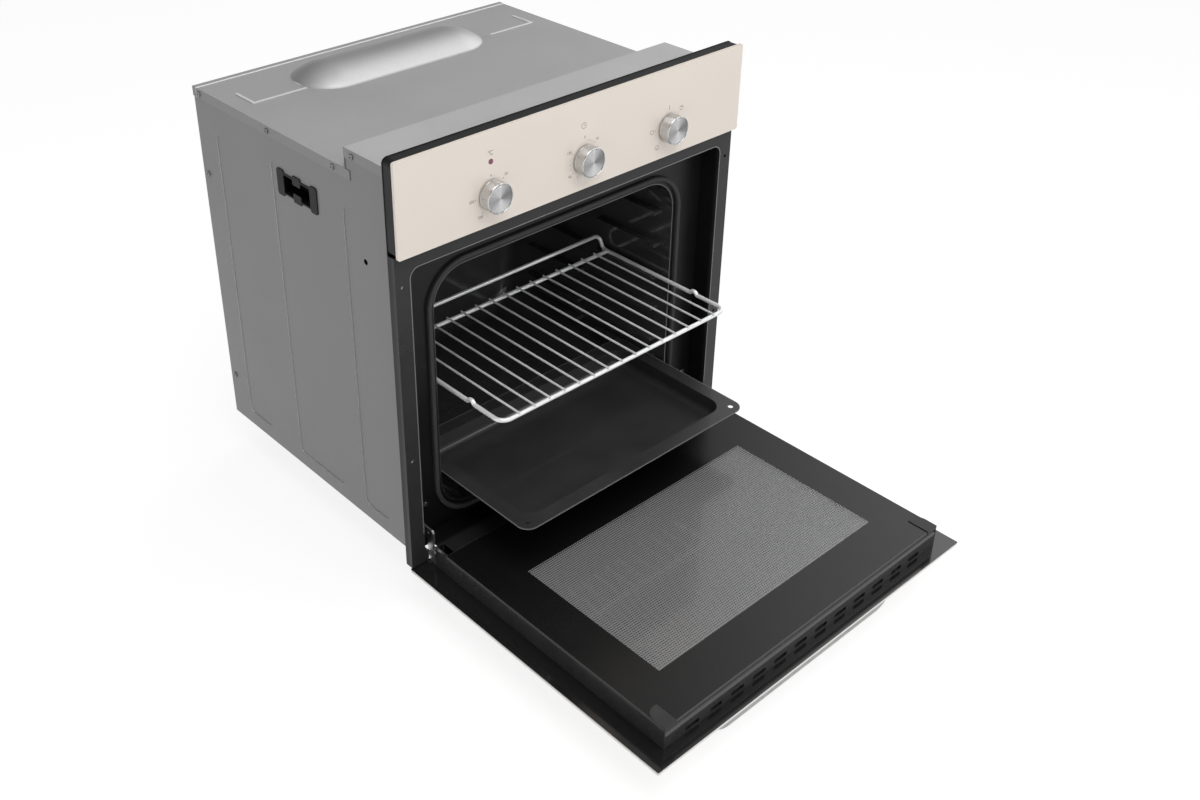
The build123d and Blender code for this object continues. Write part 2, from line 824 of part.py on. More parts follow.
def control_body(x):
    """A switch housing fixed to the back of the frame's upper plate."""
    half = control_size / 2
    body = slab_y(x - half, x + half, niche_y, niche_y + control_depth, knob_z - half, knob_z + half,
                  control_corner)
    return body - rod_y(x, knob_z, shaft_r + shaft_clearance, niche_y, niche_y + shaft_depth)


def control_shaft(x):
    """The shaft from a switch to its knob."""
    knob_front = panel_front_y - knob_gap - knob_length
    end = niche_y + shaft_depth - shaft_clearance
    return rod_y(x, knob_z, shaft_r, knob_front + knob_socket, end)


def knob(x):
    """A turned knob with a slightly dished face and a rim."""
    back = panel_front_y - knob_gap
    front = back - knob_length
    turned = rod_y(x, knob_z, knob_r, front, back)
    turned = fillet(turned.faces().sort_by(Axis.Y)[0].edges(), knob_dish)
    turned = turned - rod_y(x, knob_z, knob_r - knob_rim, front, front + knob_dish)
    return turned - rod_y(x, knob_z, shaft_r, front + knob_socket, back)


# Rear connection

def terminal_block():
    """The block that the supply wires are clamped in, behind the gland."""
    block_y = rear_y - sheet - gland_flange - terminal_depth
    body = slab_y(terminal_x - terminal_width / 2, terminal_x + terminal_width / 2, block_y,
                  rear_y - sheet, terminal_z - terminal_height / 2, terminal_z + terminal_height / 2,
                  terminal_corner)
    room = rod_y(terminal_x, terminal_z, gland_flange_r, rear_y - sheet - gland_flange, rear_y - sheet)
    return body - room


def cable_gland():
    """The bushing that a supply cable would enter through."""
    inner = rear_y - sheet
    flange = rod_y(terminal_x, terminal_z, gland_flange_r, inner - gland_flange, inner)
    stem = rod_y(terminal_x, terminal_z, gland_r, inner, inner + gland_length - gland_flange)
    gland = flange + stem
    return gland - rod_y(terminal_x, terminal_z, gland_bore_r, inner - gland_flange, inner + gland_length)


# Door, drawn closed

def handle_screw_xs():
    """The handle's two screw places."""
    offset = handle_half - handle_screw_inset
    return (-offset, offset)


def door_outer_glass():
    """The large front pane."""
    glass = slab_y(-front_half, front_half, door_front_y, door_glass_y, door_bottom, door_top, door_corner)
    for x in handle_screw_xs():
        glass = glass - rod_y(x, handle_z, handle_screw_r, door_front_y, door_glass_y)
    return glass


def door_inner_glass():
    """The pane that faces the cavity."""
    return slab_y(-door_inner_half, door_inner_half, inner_glass_y, door_back_y, inner_glass_bottom,
                  door_inner_top - inner_glass_inset)


def door_side_profile():
    """The +X side channel that joins the two panes."""
    inner_x = door_inner_half - profile_sheet
    flange_x = door_inner_half - profile_flange
    case_top = pivot_z + case_start + case_length
    web = block(inner_x, door_inner_half, door_glass_y, inner_glass_y, door_inner_bottom, door_inner_top)
    front = block(flange_x, door_inner_half, door_glass_y, door_glass_y + profile_sheet, case_top,
                  door_inner_top - profile_sheet)
    back = block(flange_x, door_inner_half, inner_glass_y - profile_sheet, inner_glass_y,
                 inner_glass_bottom, door_inner_top - end_shoulder)
    return web + front + back


def end_form(inset):
    """The door's free end with its rounded shoulder, smaller by an inset."""
    half = door_inner_half - profile_sheet
    return slab_x(-half, half, door_glass_y - end_shoulder, inner_glass_y - inset,
                  door_inner_bottom, door_inner_top - inset, end_shoulder - inset)


def door_end_profile():
    """The slotted channel along the door's free end, rounded in under the inner pane's edge."""
    side_x = door_inner_half - profile_flange
    half = door_inner_half - profile_sheet
    low = door_inner_top - profile_sheet
    flange_z = door_inner_top - glass_rebate
    shoulder_z = door_inner_top - end_shoulder
    shell = end_form(0.0) - end_form(profile_sheet)
    shell = shell & block(-half, half, door_glass_y, inner_glass_y, shoulder_z, door_inner_top)
    front = block(-side_x, side_x, door_glass_y, door_glass_y + profile_sheet, flange_z, door_inner_top)
    ledge = block(-side_x, side_x, inner_glass_y - profile_sheet, inner_glass_y, flange_z, shoulder_z)
    profile = shell + front + ledge
    slot_y = door_glass_y + vent_rise
    for index in range(vent_count):
        x = (index - (vent_count - 1) / 2) * vent_pitch
        profile = profile - slab_z(x - vent_length / 2, x + vent_length / 2, slot_y - vent_width / 2,
                                   slot_y + vent_width / 2, low, door_inner_top, vent_width * end_round)
    for x in handle_screw_xs():
        profile = profile - rod_y(x, handle_z, handle_screw_head_r + handle_screw_room, door_glass_y,
                                  door_glass_y + profile_sheet)
    return profile


def door_hinge_profile():
    """The channel along the hinge end, between the two hinge cases."""
    half = hinge_x - case_width / 2 - profile_sheet
    low = door_inner_bottom
    seat = inner_glass_bottom
    web = block(-half, half, door_glass_y, door_back_y, low, low + profile_sheet)
    front = block(-half, half, door_glass_y, door_glass_y + profile_sheet, low, seat)
    back = block(-half, half, door_back_y - profile_sheet, door_back_y, low, seat)
    step = block(-half, half, inner_glass_y - profile_sheet, door_back_y, seat - profile_sheet, seat)
    side_x = door_inner_half - profile_flange
    ledge = block(-side_x, side_x, inner_glass_y - profile_sheet, inner_glass_y, seat, seat + pane_ledge)
    return web + front + back + step + ledge


def door_corner_caps():
    """Plastic lobes that hold the inner pane's free corners."""
    x0 = door_inner_half - cap_width
    low = door_inner_top - cap_depth
    corner = block(x0, door_inner_half, door_back_y, door_back_y + profile_sheet, low, door_inner_top)
    skirt = block(x0, door_inner_half, inner_glass_y, door_back_y, door_inner_top - inner_glass_inset,
                  door_inner_top)
    lobe = rod_y(door_inner_half - cap_lobe_r, low, cap_lobe_r, door_back_y, door_back_y + profile_sheet)
    lobe = lobe & block(x0, door_inner_half, door_back_y, door_back_y + profile_sheet, 0, low)
    return both_sides(corner + skirt + lobe)


def door_handle():
    """The bowed bar with both ends bent in to the glass."""
    bar_y = door_front_y - handle_stand_off
    slope = handle_foot / handle_stand_off
    start = (-handle_half - slope * handle_r, door_front_y + handle_r, handle_z)
    end = (handle_half + slope * handle_r, door_front_y + handle_r, handle_z)
    inner = handle_half - handle_foot
    bar = bent_rod([start, (-inner, bar_y, handle_z), (inner, bar_y, handle_z), end],
                   handle_r, handle_bend)
    reach = handle_half + handle_stand_off
    keep = block(-reach, reach, bar_y - handle_stand_off, door_front_y,
                 handle_z - handle_stand_off, handle_z + handle_stand_off)
    bar = bar & keep
    for x in handle_screw_xs():
        bar = bar - rod_y(x, handle_z, handle_screw_r, door_front_y - handle_screw_reach, door_front_y)
    return bar


def door_handle_screws():
    """Screws from inside the door into the handle's ends."""
    screws = []
    for x in handle_screw_xs():
        shank = rod_y(x, handle_z, handle_screw_r, door_front_y - handle_screw_reach, door_glass_y)
        head = rod_y(x, handle_z, handle_screw_head_r, door_glass_y, door_glass_y + handle_screw_head)
        screws.append(shank + head)
    return Compound(children=screws)


# Hinges, on the +X side

def hinge_case():
    """The channel in the door that the hinge arm enters, with lugs for the pin."""
    x0 = hinge_x - case_width / 2
    x1 = hinge_x + case_width / 2
    low = pivot_z + case_start
    high = low + case_length
    front = door_glass_y
    channel = block(x0, x1, front, front + case_depth, low, high)
    inner = block(x0 + case_wall, x1 - case_wall, front + case_wall, front + case_depth,
                  low, high - case_wall)
    lug = rod_x(pivot_y, pivot_z, lug_r, x0, x1)
    lug = lug + block(x0, x1, pivot_y - lug_r, pivot_y + lug_r, pivot_z, low)
    lug = lug - block(x0 + case_wall, x1 - case_wall, pivot_y - lug_r, pivot_y + lug_r,
                      pivot_z - lug_r, low)
    case = (channel - inner) + lug
    return case - rod_x(pivot_y, pivot_z, pin_r, x0, x1)


def hinge_pin():
    """The pin through the case's lugs and the arm's eye."""
    x0 = hinge_x - case_width / 2
    x1 = hinge_x + case_width / 2
    pin = rod_x(pivot_y, pivot_z, pin_r, x0 - pin_head, x1)
    return pin + rod_x(pivot_y, pivot_z, pin_head_r, x0 - pin_head, x0)


def hinge_arm():
    """The plate that is fixed in the casing and carries the door's pivot."""
    x0 = hinge_x - arm_thick / 2
    x1 = hinge_x + arm_thick / 2
    front = pivot_y - arm_front
    bar = block(x0, x1, front, frame_back_y + arm_tail, arm_bar_bottom, arm_bar_top)
    front_edges = bar.edges().filter_by(Axis.X).sort_by(Axis.Y)[:2]
    bar = fillet(front_edges.sort_by(Axis.Z)[-1], arm_corner)
    leg = block(x0, x1, front + (arm_front - arm_eye_r), pivot_y + arm_eye_r, pivot_z, arm_bar_bottom)
    toe = block(x0, x1, front, pivot_y + arm_eye_r, arm_bar_bottom - arm_corner, arm_bar_bottom)
    eye = rod_x(pivot_y, pivot_z, arm_eye_r, x0, x1)
    arm = bar + leg + toe + eye
    return arm - rod_x(pivot_y, pivot_z, pin_r + pin_clearance, x0, x1)


def hinge_receiver():
    """The steel pocket behind the frame that holds the arm's tail."""
    x0 = hinge_x - receiver_half
    x1 = hinge_x + receiver_half
    low = arm_bar_bottom - 2 * roller_r - receiver_wall
    high = arm_bar_top + receiver_margin
    pocket = block(x0, x1, frame_back_y, frame_back_y + receiver_length, low, high)
    room = block(x0 + receiver_wall, x1 - receiver_wall, frame_back_y,
                 frame_back_y + receiver_length - receiver_wall, low + receiver_wall, high - receiver_wall)
    return pocket - room


def hinge_roller():
    """The roller that the arm's tail bears on."""
    x0 = hinge_x - receiver_half + receiver_wall
    x1 = hinge_x + receiver_half - receiver_wall
    return rod_x(frame_back_y + roller_setback, arm_bar_bottom - roller_r, roller_r, x0, x1)


# What slides in the cavity

def wire_rack():
    """The welded wire shelf with a raised rail at the back."""
    side = rack_half - rail_r
    front = niche_y + rack_front
    back = niche_y + rack_back
    rim = bent_rod([(-side, front + 2 * rack_corner, rack_z), (-side, front, rack_z),
                    (side, front, rack_z), (side, front + 2 * rack_corner, rack_z)], rail_r, rack_corner)
    stop_back = niche_y + stop_y
    stop_rise = stop_back - stop_height
    stop_fall = stop_rise - stop_top
    stop_front = stop_fall - stop_height
    side_rail = bent_rod([(side, back, rack_z), (side, stop_back, rack_z),
                          (side, stop_rise, rack_z + stop_height), (side, stop_fall, rack_z + stop_height),
                          (side, stop_front, rack_z), (side, front + rack_corner, rack_z)],
                         rail_r, stop_bend)
    high = rack_z + back_rail_rise
    start = back - 2 * back_rail_bend
    rail = bent_rod([(-side, start, rack_z), (-side, back, rack_z), (-side, back + back_rail_back, high),
                     (side, back + back_rail_back, high), (side, back, rack_z), (side, start, rack_z)],
                    rail_r, back_rail_bend)
    cross_y = back - back_rail_bend
    cross = rod_x(cross_y, rack_z, rail_r, -side, side)
    rack = rim + side_rail + mirrored(side_rail) + rail + cross
    wire_z = rack_z + rail_r + wire_r - wire_sink
    for index in range(wire_count):
        x = (index - (wire_count - 1) / 2) * wire_pitch
        rack = rack + rod_y(x, wire_z, wire_r, front - rail_r, cross_y + rail_r)
    return rack


def baking_tray():
    """The pressed tray with a wide rim."""
    front = niche_y + tray_front
    back = niche_y + tray_back
    rim = slab_z(-tray_half, tray_half, front, back, tray_rim_z - tray_sheet, tray_rim_z, tray_corner)
    floor = tray_rim_z - tray_depth
    well_half = tray_half - tray_rim
    outer = slab_z(-well_half - tray_sheet, well_half + tray_sheet, front + tray_rim - tray_sheet,
                   back - tray_rim + tray_sheet, floor - tray_sheet, tray_rim_z,
                   tray_well_corner + tray_sheet)
    outer = fillet(outer.faces().sort_by(Axis.Z)[0].edges(), tray_floor_r + tray_sheet)
    inner = slab_z(-well_half, well_half, front + tray_rim, back - tray_rim, floor, tray_rim_z,
                   tray_well_corner)
    inner = fillet(inner.faces().sort_by(Axis.Z)[0].edges(), tray_floor_r)
    tray = rim + outer - inner
    for x in (-tray_half + tray_hole_inset, tray_half - tray_hole_inset):
        tray = tray - rod_z(x, front + tray_hole_inset, tray_hole_r, tray_rim_z - tray_sheet, tray_rim_z)
    return tray


def save(name, shape):
    """Write one piece under its node's name."""
    export_step(shape, "parts/" + name + ".step")


os.makedirs("parts", exist_ok=True)

save("base_panel", base_panel())
save("side_panel_right", side_panel())
save("side_panel_left", mirrored(side_panel()))
save("rear_panel", rear_panel())
save("top_cover", top_cover())
save("front_top_cover", front_top_cover())
save("carrying_grip_right", carrying_grip())
save("carrying_grip_left", mirrored(carrying_grip()))
save("casing_screws", casing_screws())
save("front_frame", front_frame())
save("frame_screws", frame_screws())
save("cavity_liner", cavity_liner())
save("cavity_seal", cavity_seal())
save("heating_element_top", element(top_element_z))
save("heating_element_bottom", element(bottom_element_z))
save("element_clips", element_clips())
save("insulation", insulation())
save("lamp_holder", lamp_holder())
save("lamp_glass", lamp_glass())
save("lamp_bulb", lamp_bulb())
save("panel_glass", panel_glass())
save("panel_carrier", panel_carrier())
save("indicator_lens", indicator_lens())
for control, x in zip(("thermostat", "timer", "function_switch"), knob_xs):
    save(control + "_body", control_body(x))
    save(control + "_shaft", control_shaft(x))
    save(control + "_knob", knob(x))
save("terminal_block", terminal_block())
save("cable_gland", cable_gland())
save("door_outer_glass", opened(door_outer_glass()))
save("door_inner_glass", opened(door_inner_glass()))
save("door_side_profile_right", opened(door_side_profile()))
save("door_side_profile_left", opened(mirrored(door_side_profile())))
save("door_end_profile", opened(door_end_profile()))
save("door_hinge_profile", opened(door_hinge_profile()))
save("door_corner_caps", opened(door_corner_caps()))
save("door_handle", opened(door_handle()))
save("door_handle_screws", opened(door_handle_screws()))
save("hinge_case_right", opened(hinge_case()))
save("hinge_case_left", opened(mirrored(hinge_case())))
save("hinge_pins", opened(both_sides(hinge_pin())))
save("hinge_arm_right", hinge_arm())
save("hinge_arm_left", mirrored(hinge_arm()))
save("hinge_receiver_right", hinge_receiver())
save("hinge_receiver_left", mirrored(hinge_receiver()))
save("hinge_rollers", both_sides(hinge_roller()))
save("wire_rack", wire_rack())
save("baking_tray", baking_tray())
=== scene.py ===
import bpy
import bmesh
import json
import math
from mathutils import Matrix, Vector

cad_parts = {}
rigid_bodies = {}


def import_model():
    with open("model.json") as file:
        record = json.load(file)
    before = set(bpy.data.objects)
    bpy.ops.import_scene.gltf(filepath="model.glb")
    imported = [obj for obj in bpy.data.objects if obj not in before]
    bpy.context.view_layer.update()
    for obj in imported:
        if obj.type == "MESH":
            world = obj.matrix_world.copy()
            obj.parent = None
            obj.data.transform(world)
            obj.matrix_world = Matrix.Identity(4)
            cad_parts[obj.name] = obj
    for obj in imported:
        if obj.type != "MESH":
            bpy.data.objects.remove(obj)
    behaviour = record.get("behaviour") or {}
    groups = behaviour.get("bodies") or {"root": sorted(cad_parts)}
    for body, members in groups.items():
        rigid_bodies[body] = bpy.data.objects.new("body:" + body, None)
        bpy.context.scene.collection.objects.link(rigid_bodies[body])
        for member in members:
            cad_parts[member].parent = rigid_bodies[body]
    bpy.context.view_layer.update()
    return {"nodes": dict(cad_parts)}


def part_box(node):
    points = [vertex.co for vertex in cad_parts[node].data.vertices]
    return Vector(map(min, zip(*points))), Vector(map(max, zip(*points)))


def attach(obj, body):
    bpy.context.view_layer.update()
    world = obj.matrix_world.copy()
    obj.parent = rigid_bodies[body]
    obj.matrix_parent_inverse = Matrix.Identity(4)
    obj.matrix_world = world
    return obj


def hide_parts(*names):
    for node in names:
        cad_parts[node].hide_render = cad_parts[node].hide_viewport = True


for old in list(bpy.data.objects):
    bpy.data.objects.remove(old)

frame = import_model()
nodes = frame["nodes"]

mm = 0.001


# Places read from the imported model, in metres

def low(node):
    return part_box(node)[0]


def high(node):
    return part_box(node)[1]


def middle(node):
    a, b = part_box(node)
    return (a + b) / 2


# Shader sums

class Reading:
    """A socket's value, so that a pattern is written as plain sums."""

    def __init__(self, finish, socket):
        self.finish = finish
        self.socket = socket

    def sum(self, operation, *others, clamp=False):
        """One Math node on this value and the others."""
        return self.finish.node("ShaderNodeMath", {"operation": operation, "use_clamp": clamp},
                                {i: v for i, v in enumerate((self,) + others)})

    def turned(self, operation, other):
        """The same with the other value first."""
        return self.finish.node("ShaderNodeMath", {"operation": operation}, {0: other, 1: self})

    def __add__(self, other):
        return self.sum("ADD", other)

    def __radd__(self, other):
        return self.sum("ADD", other)

    def __sub__(self, other):
        return self.sum("SUBTRACT", other)

    def __rsub__(self, other):
        return self.turned("SUBTRACT", other)

    def __mul__(self, other):
        return self.sum("MULTIPLY", other)

    def __rmul__(self, other):
        return self.sum("MULTIPLY", other)

    def __truediv__(self, other):
        return self.sum("DIVIDE", other)

    def __rtruediv__(self, other):
        return self.turned("DIVIDE", other)

    def __pow__(self, other):
        return self.sum("POWER", other)

    def __abs__(self):
        return self.sum("ABSOLUTE")

    def above(self, level):
        return self.sum("GREATER_THAN", level)

    def below(self, level):
        return self.sum("LESS_THAN", level)

    def least(self, other):
        return self.sum("MINIMUM", other)

    def most(self, other):
        return self.sum("MAXIMUM", other)

    def root(self):
        return self.sum("SQRT")

    def sine(self):
        return self.sum("SINE")

    def part(self):
        return self.sum("FRACT")

    def held(self):
        return self.sum("ADD", 0.0, clamp=True)

    def spread(self, start, end, at_start=0.0, at_end=1.0):
        """Moves smoothly from at_start to at_end as this value goes from start to end."""
        return self.finish.node("ShaderNodeMapRange", {"interpolation_type": "SMOOTHSTEP"},
                                {"Value": self, "From Min": start, "From Max": end,
                                 "To Min": at_start, "To Max": at_end})


class Finish:
    """A material in the making. One method adds each of its nodes."""

    def __init__(self, owner):
        owner.use_nodes = True
        self.owner = owner
        self.tree = owner.node_tree
        self.tree.nodes.clear()

    def node(self, kind, settings=None, sockets=None, output=0):
        """Adds a node, sets it and then fills its sockets. A tuple of outputs gives a list of readings."""
        made = self.tree.nodes.new(kind)
        for name, value in (settings or {}).items():
            if name == "stops":
                ramp = made.color_ramp.elements
                while len(ramp) < len(value):
                    ramp.new(1.0)
                for stop, (place, colour) in zip(ramp, value):
                    stop.position = place
                    stop.color = (*colour, 1.0)
            else:
                setattr(made, name, value)
        for name, value in (sockets or {}).items():
            if isinstance(value, Reading):
                self.tree.links.new(value.socket, made.inputs[name])
            elif isinstance(made.inputs[name].default_value, (float, int)):
                made.inputs[name].default_value = value
            else:
                size = len(made.inputs[name].default_value)
                made.inputs[name].default_value = (tuple(value) + (1.0,))[:size]
        if isinstance(output, tuple):
            return [Reading(self, made.outputs[each]) for each in output]
        return Reading(self, made.outputs[output])

    def point(self):
        return self.node("ShaderNodeTexCoord", output="Object")

    def axes(self, point):
        return self.node("ShaderNodeSeparateXYZ", {}, {0: point}, (0, 1, 2))

    def joined(self, x, y, z):
        return self.node("ShaderNodeCombineXYZ", {}, {0: x, 1: y, 2: z})

    def scaled(self, point, factors):
        return self.node("ShaderNodeVectorMath", {"operation": "MULTIPLY"}, {0: point, 1: factors})

    def noise(self, point, scale, detail, roughness):
        return self.node("ShaderNodeTexNoise", {},
                         {"Vector": point, "Scale": scale, "Detail": detail, "Roughness": roughness})

    def cells(self, point, scale, output="Distance"):
        return self.node("ShaderNodeTexVoronoi", {}, {"Vector": point, "Scale": scale}, output)

    def blend(self, share, first, second):
        """A colour between two colours."""
        return self.node("ShaderNodeMix", {"data_type": "RGBA"}, {0: share, 6: first, 7: second}, 2)

    def bump(self, height, distance, strength):
        return self.node("ShaderNodeBump", {},
                         {"Height": height, "Distance": distance, "Strength": strength})

    def surface(self, shader):
        """Ends the tree with its shader, and gives the material or world that owns it."""
        of_world = isinstance(self.owner, bpy.types.World)
        end = "ShaderNodeOutputWorld" if of_world else "ShaderNodeOutputMaterial"
        self.node(end, {}, {"Surface": shader}, ())
        return self.owner

    def body(self, sockets):
        return self.node("ShaderNodeBsdfPrincipled", {}, sockets)


def new_finish(name):
    return Finish(bpy.data.materials.new(name))


# Finishes of sheet metal

# The cover's pressings, whose tones are painted light and shade
bulge_foot = high("top_cover").z - 19.7 * mm
bulge_edge = high("top_cover").z - 18.0 * mm
rib_foot = high("top_cover").z - 19.4 * mm
rib_ends = 165.0 * mm
rib_back = 200.0 * mm
hem_y = high("top_cover").y - 9.5 * mm
hem_half = 1.1 * mm
bulge_front = 85.0 * mm
bulge_back = 165.0 * mm

# The side panels' outer face, and the walls of the fields pressed back from it
side_face = high("side_panel_right").x
field_face = side_face - 1.1 * mm
field_edge = side_face - 0.1 * mm


def painted_cover_light(x, y, z):
    """The cover's tone as a share of plain sheet's.

    Painted light and shade: the bulge's front slope is painted lighter and its rear slope darker, as the
    light falls on them, and the ribs and the hem get painted highlights.
    """
    arch = z.spread(bulge_foot, bulge_edge)
    ribs = z.above(rib_foot) * abs(x).above(rib_ends) * y.below(rib_back)
    hem = abs(y - hem_y).below(hem_half)
    return y.spread(bulge_front, bulge_back, 1.40, 0.62) * arch + (1.0 - arch) + (ribs + hem) * 0.9


def sheet_finish(name, colour, metallic, grain, flange_shade=1.0, paints_cover_light=False, paints_wall_light=False):
    """Zinc-coated sheet: soft spangle, rolling lines along one axis, faint handling smears.

    The parts turned down over the side panels get painted shade: their colour times the factor given, to be
    as dark as the side panels. The narrow walls round the pressed fields of the sides are painted much
    lighter, painted light against the shade they lie in. The cover's pressings can be given painted light
    and shade as well.
    """
    f = new_finish(name)
    p = f.point()
    along = tuple(6.0 if g else 420.0 for g in grain)
    lines = f.noise(f.scaled(p, along), 1.0, 4.0, 0.6)
    crystal = f.cells(p, 190.0, "Color")
    spangle = f.axes(crystal)[0]
    smear = f.noise(p, 7.0, 4.0, 0.55)
    patch = f.noise(p, 2.2, 2.0, 0.4)
    tone = (lines - 0.5) * 0.22 + (spangle - 0.5) * 0.08 + (smear - 0.5) * 0.25 + (patch - 0.5) * 0.2
    share = (tone + 0.5).held()
    dark = tuple(c * 0.80 for c in colour)
    light = tuple(c * 1.20 for c in colour)
    base = f.blend(share, dark, light)
    x, y, z = f.axes(p)
    # Painted light: the walls of the pressed fields, which face away from the light, are made much lighter.
    if paints_wall_light:
        wall = abs(x).above(field_face) * abs(x).below(field_edge)
        base = f.blend(wall, base, tuple(c * 4.0 for c in colour))
    # Painted shade: the parts turned down over the sides are made as dark as the side panels.
    if flange_shade != 1.0:
        turned_down = abs(x).above(side_face + 0.1 * mm)
        fold_shade_base = f.blend(share, tuple(c * flange_shade for c in dark), tuple(c * flange_shade for c in light))
        base = f.blend(turned_down, base, fold_shade_base)
    # Painted light and shade on the cover's bulge, and painted highlights on its ribs and hem.
    if paints_cover_light:
        shade = painted_cover_light(x, y, z)
        base = f.scaled(base, f.joined(shade, shade, shade))
    rough = 0.42 + (smear - 0.5) * 0.16 + (spangle - 0.5) * 0.05 + (lines - 0.5) * 0.10
    ripple = f.noise(p, 9.0, 2.0, 0.4) * 0.6 + lines * 0.02
    return f.surface(f.body({"Base Color": base, "Metallic": metallic, "Roughness": rough,
                             "Normal": f.bump(ripple, 0.0012, 0.35)}))


def plated_finish(name, colour, roughness):
    """Bright plated metal with tiny pits and worn, duller patches."""
    f = new_finish(name)
    p = f.point()
    wear = f.noise(p, 60.0, 4.0, 0.6)
    fine = f.noise(p, 900.0, 3.0, 0.6)
    share = (wear.spread(0.35, 0.75) * 0.7 + (fine - 0.5) * 0.3).held()
    base = f.blend(share, colour, tuple(c * 0.72 for c in colour))
    return f.surface(f.body({"Base Color": base, "Metallic": 0.95,
                             "Roughness": roughness + share * 0.14,
                             "Normal": f.bump(fine, 0.0001, 0.4)}))


def wire_finish():
    """Nickel-bright wire, drawn lengthwise, with a faint haze."""
    f = new_finish("bright_wire")
    p = f.point()
    haze = f.noise(p, 35.0, 3.0, 0.5)
    fine = f.noise(p, 700.0, 2.0, 0.5)
    base = f.blend(haze.spread(0.3, 0.7), (0.88, 0.885, 0.89), (0.76, 0.765, 0.77))
    return f.surface(f.body({"Base Color": base, "Metallic": 0.28,
                             "Roughness": 0.30 + (haze - 0.5) * 0.16 + (fine - 0.5) * 0.05,
                             "Normal": f.bump(fine, 0.00006, 0.3)}))


def tube_finish():
    """A heating tube's steel, darkened by heat in uneven bands."""
    f = new_finish("heated_tube")
    p = f.point()
    bands = f.noise(f.scaled(p, (1.0, 1.0, 0.3)), 26.0, 3.0, 0.6)
    scale = f.noise(p, 500.0, 4.0, 0.7)
    base = f.node("ShaderNodeValToRGB", {"stops": [(0.30, (0.26, 0.25, 0.245)), (0.55, (0.38, 0.37, 0.36)),
                                                   (0.75, (0.46, 0.455, 0.45))]},
                  {"Fac": bands * 0.8 + scale * 0.2})
    return f.surface(f.body({"Base Color": base, "Metallic": 0.7, "Roughness": 0.42 + (scale - 0.5) * 0.3,
                             "Normal": f.bump(scale, 0.0002, 0.5)}))


def turned_finish(name, centre, face_y, face_radius):
    """Turned aluminium. The spun face's light and dark wedges are a painted reflection in the base colour,
    fixed by angle round the knob's middle; the real fine ridges of the knob's mesh add their own.
    """
    f = new_finish(name)
    p = f.point()
    x, y, z = f.axes(p)
    across = x - centre[0]
    up = z - centre[2]
    away = (across * across + up * up).root().most(0.0004)
    right = across / away
    top = up / away
    # Painted reflection: light and dark wedges by angle round the knob's middle.
    pair = (top * top - right * right) * 0.94 - top * right * 0.68
    single = right * -0.45 - top * 0.35
    streak = f.noise(f.joined(right * 3.0, top * 3.0, 0.5), 3.0, 3.0, 0.6) - 0.5
    share = (0.46 + pair * 0.30 + single * 0.22 + streak * 0.5).held()
    rings = (away * 9000.0 + f.noise(p, 300.0, 2.0, 0.5) * 0.8).sine()
    haze = f.noise(p, 90.0, 2.0, 0.5)
    painted_sector_reflection = f.blend(share, (0.17, 0.17, 0.175), (0.66, 0.66, 0.66))
    wall = f.blend((rings * 0.1 + haze * 0.6 + 0.2).held(), (0.56, 0.56, 0.56), (0.68, 0.68, 0.68))
    on_face = away.below(face_radius) * y.below(face_y)
    fine = f.noise(p, 1500.0, 2.0, 0.5)
    return f.surface(f.body({"Base Color": f.blend(on_face, wall, painted_sector_reflection), "Metallic": 0.95,
                             "Roughness": 0.22 + (haze - 0.5) * 0.12 + (fine - 0.5) * 0.04,
                             "Normal": f.bump(fine, 0.00002, 0.4)}))


# Finishes of enamel, paint and plastic

def enamel_skin(f, p, peel):
    """The fine waves of an enamel's skin, of the scale named peel, and its slow change over the piece."""
    return f.noise(p, peel, 2.0, 0.5), f.noise(p, 14.0, 3.0, 0.5)


def pin_holes(f, p):
    """A few fine pits."""
    return f.noise(p, 1500.0, 2.0, 0.6).spread(0.66, 0.80)


def enamel_finish(name, colour, roughness, peel, coat, shine=0.5):
    """Fired enamel or paint: a slightly wavy skin of the scale named peel, with a few fine pits."""
    f = new_finish(name)
    p = f.point()
    waves, slow = enamel_skin(f, p, peel)
    pits = pin_holes(f, p)
    base = f.blend((slow * 0.7 + pits * 0.3).held(), colour, tuple(c * 1.7 + 0.003 for c in colour))
    rough = roughness + (slow - 0.5) * roughness * 0.8 + pits * 0.12
    return f.surface(f.body({"Base Color": base, "Roughness": rough, "Specular IOR Level": shine,
                             "Coat Weight": coat, "Coat Roughness": 0.04,
                             "Normal": f.bump(waves, 0.00006, 0.5)}))


def frame_finish():
    """The frame's satin black enamel, with painted shade in the recess set back behind its face: a much
    darker black there, and a little rougher.
    """
    f = new_finish("frame_enamel")
    p = f.point()
    y = f.axes(p)[1]
    face_y = low("front_frame").y
    set_back = y.spread(face_y + 1.0 * mm, face_y + 8.0 * mm)
    waves, slow = enamel_skin(f, p, 700.0)
    face = f.blend(slow, (0.022, 0.022, 0.0225), (0.032, 0.032, 0.0325))
    # Painted shade: the recess is given a much darker black than the face.
    recess = f.blend(slow, (0.005, 0.005, 0.005), (0.009, 0.009, 0.009))
    return f.surface(f.body({"Base Color": f.blend(set_back, face, recess), "Specular IOR Level": 0.22,
                             "Roughness": 0.30 + (slow - 0.5) * 0.20 + set_back * 0.06,
                             "Normal": f.bump(waves, 0.00006, 0.5)}))


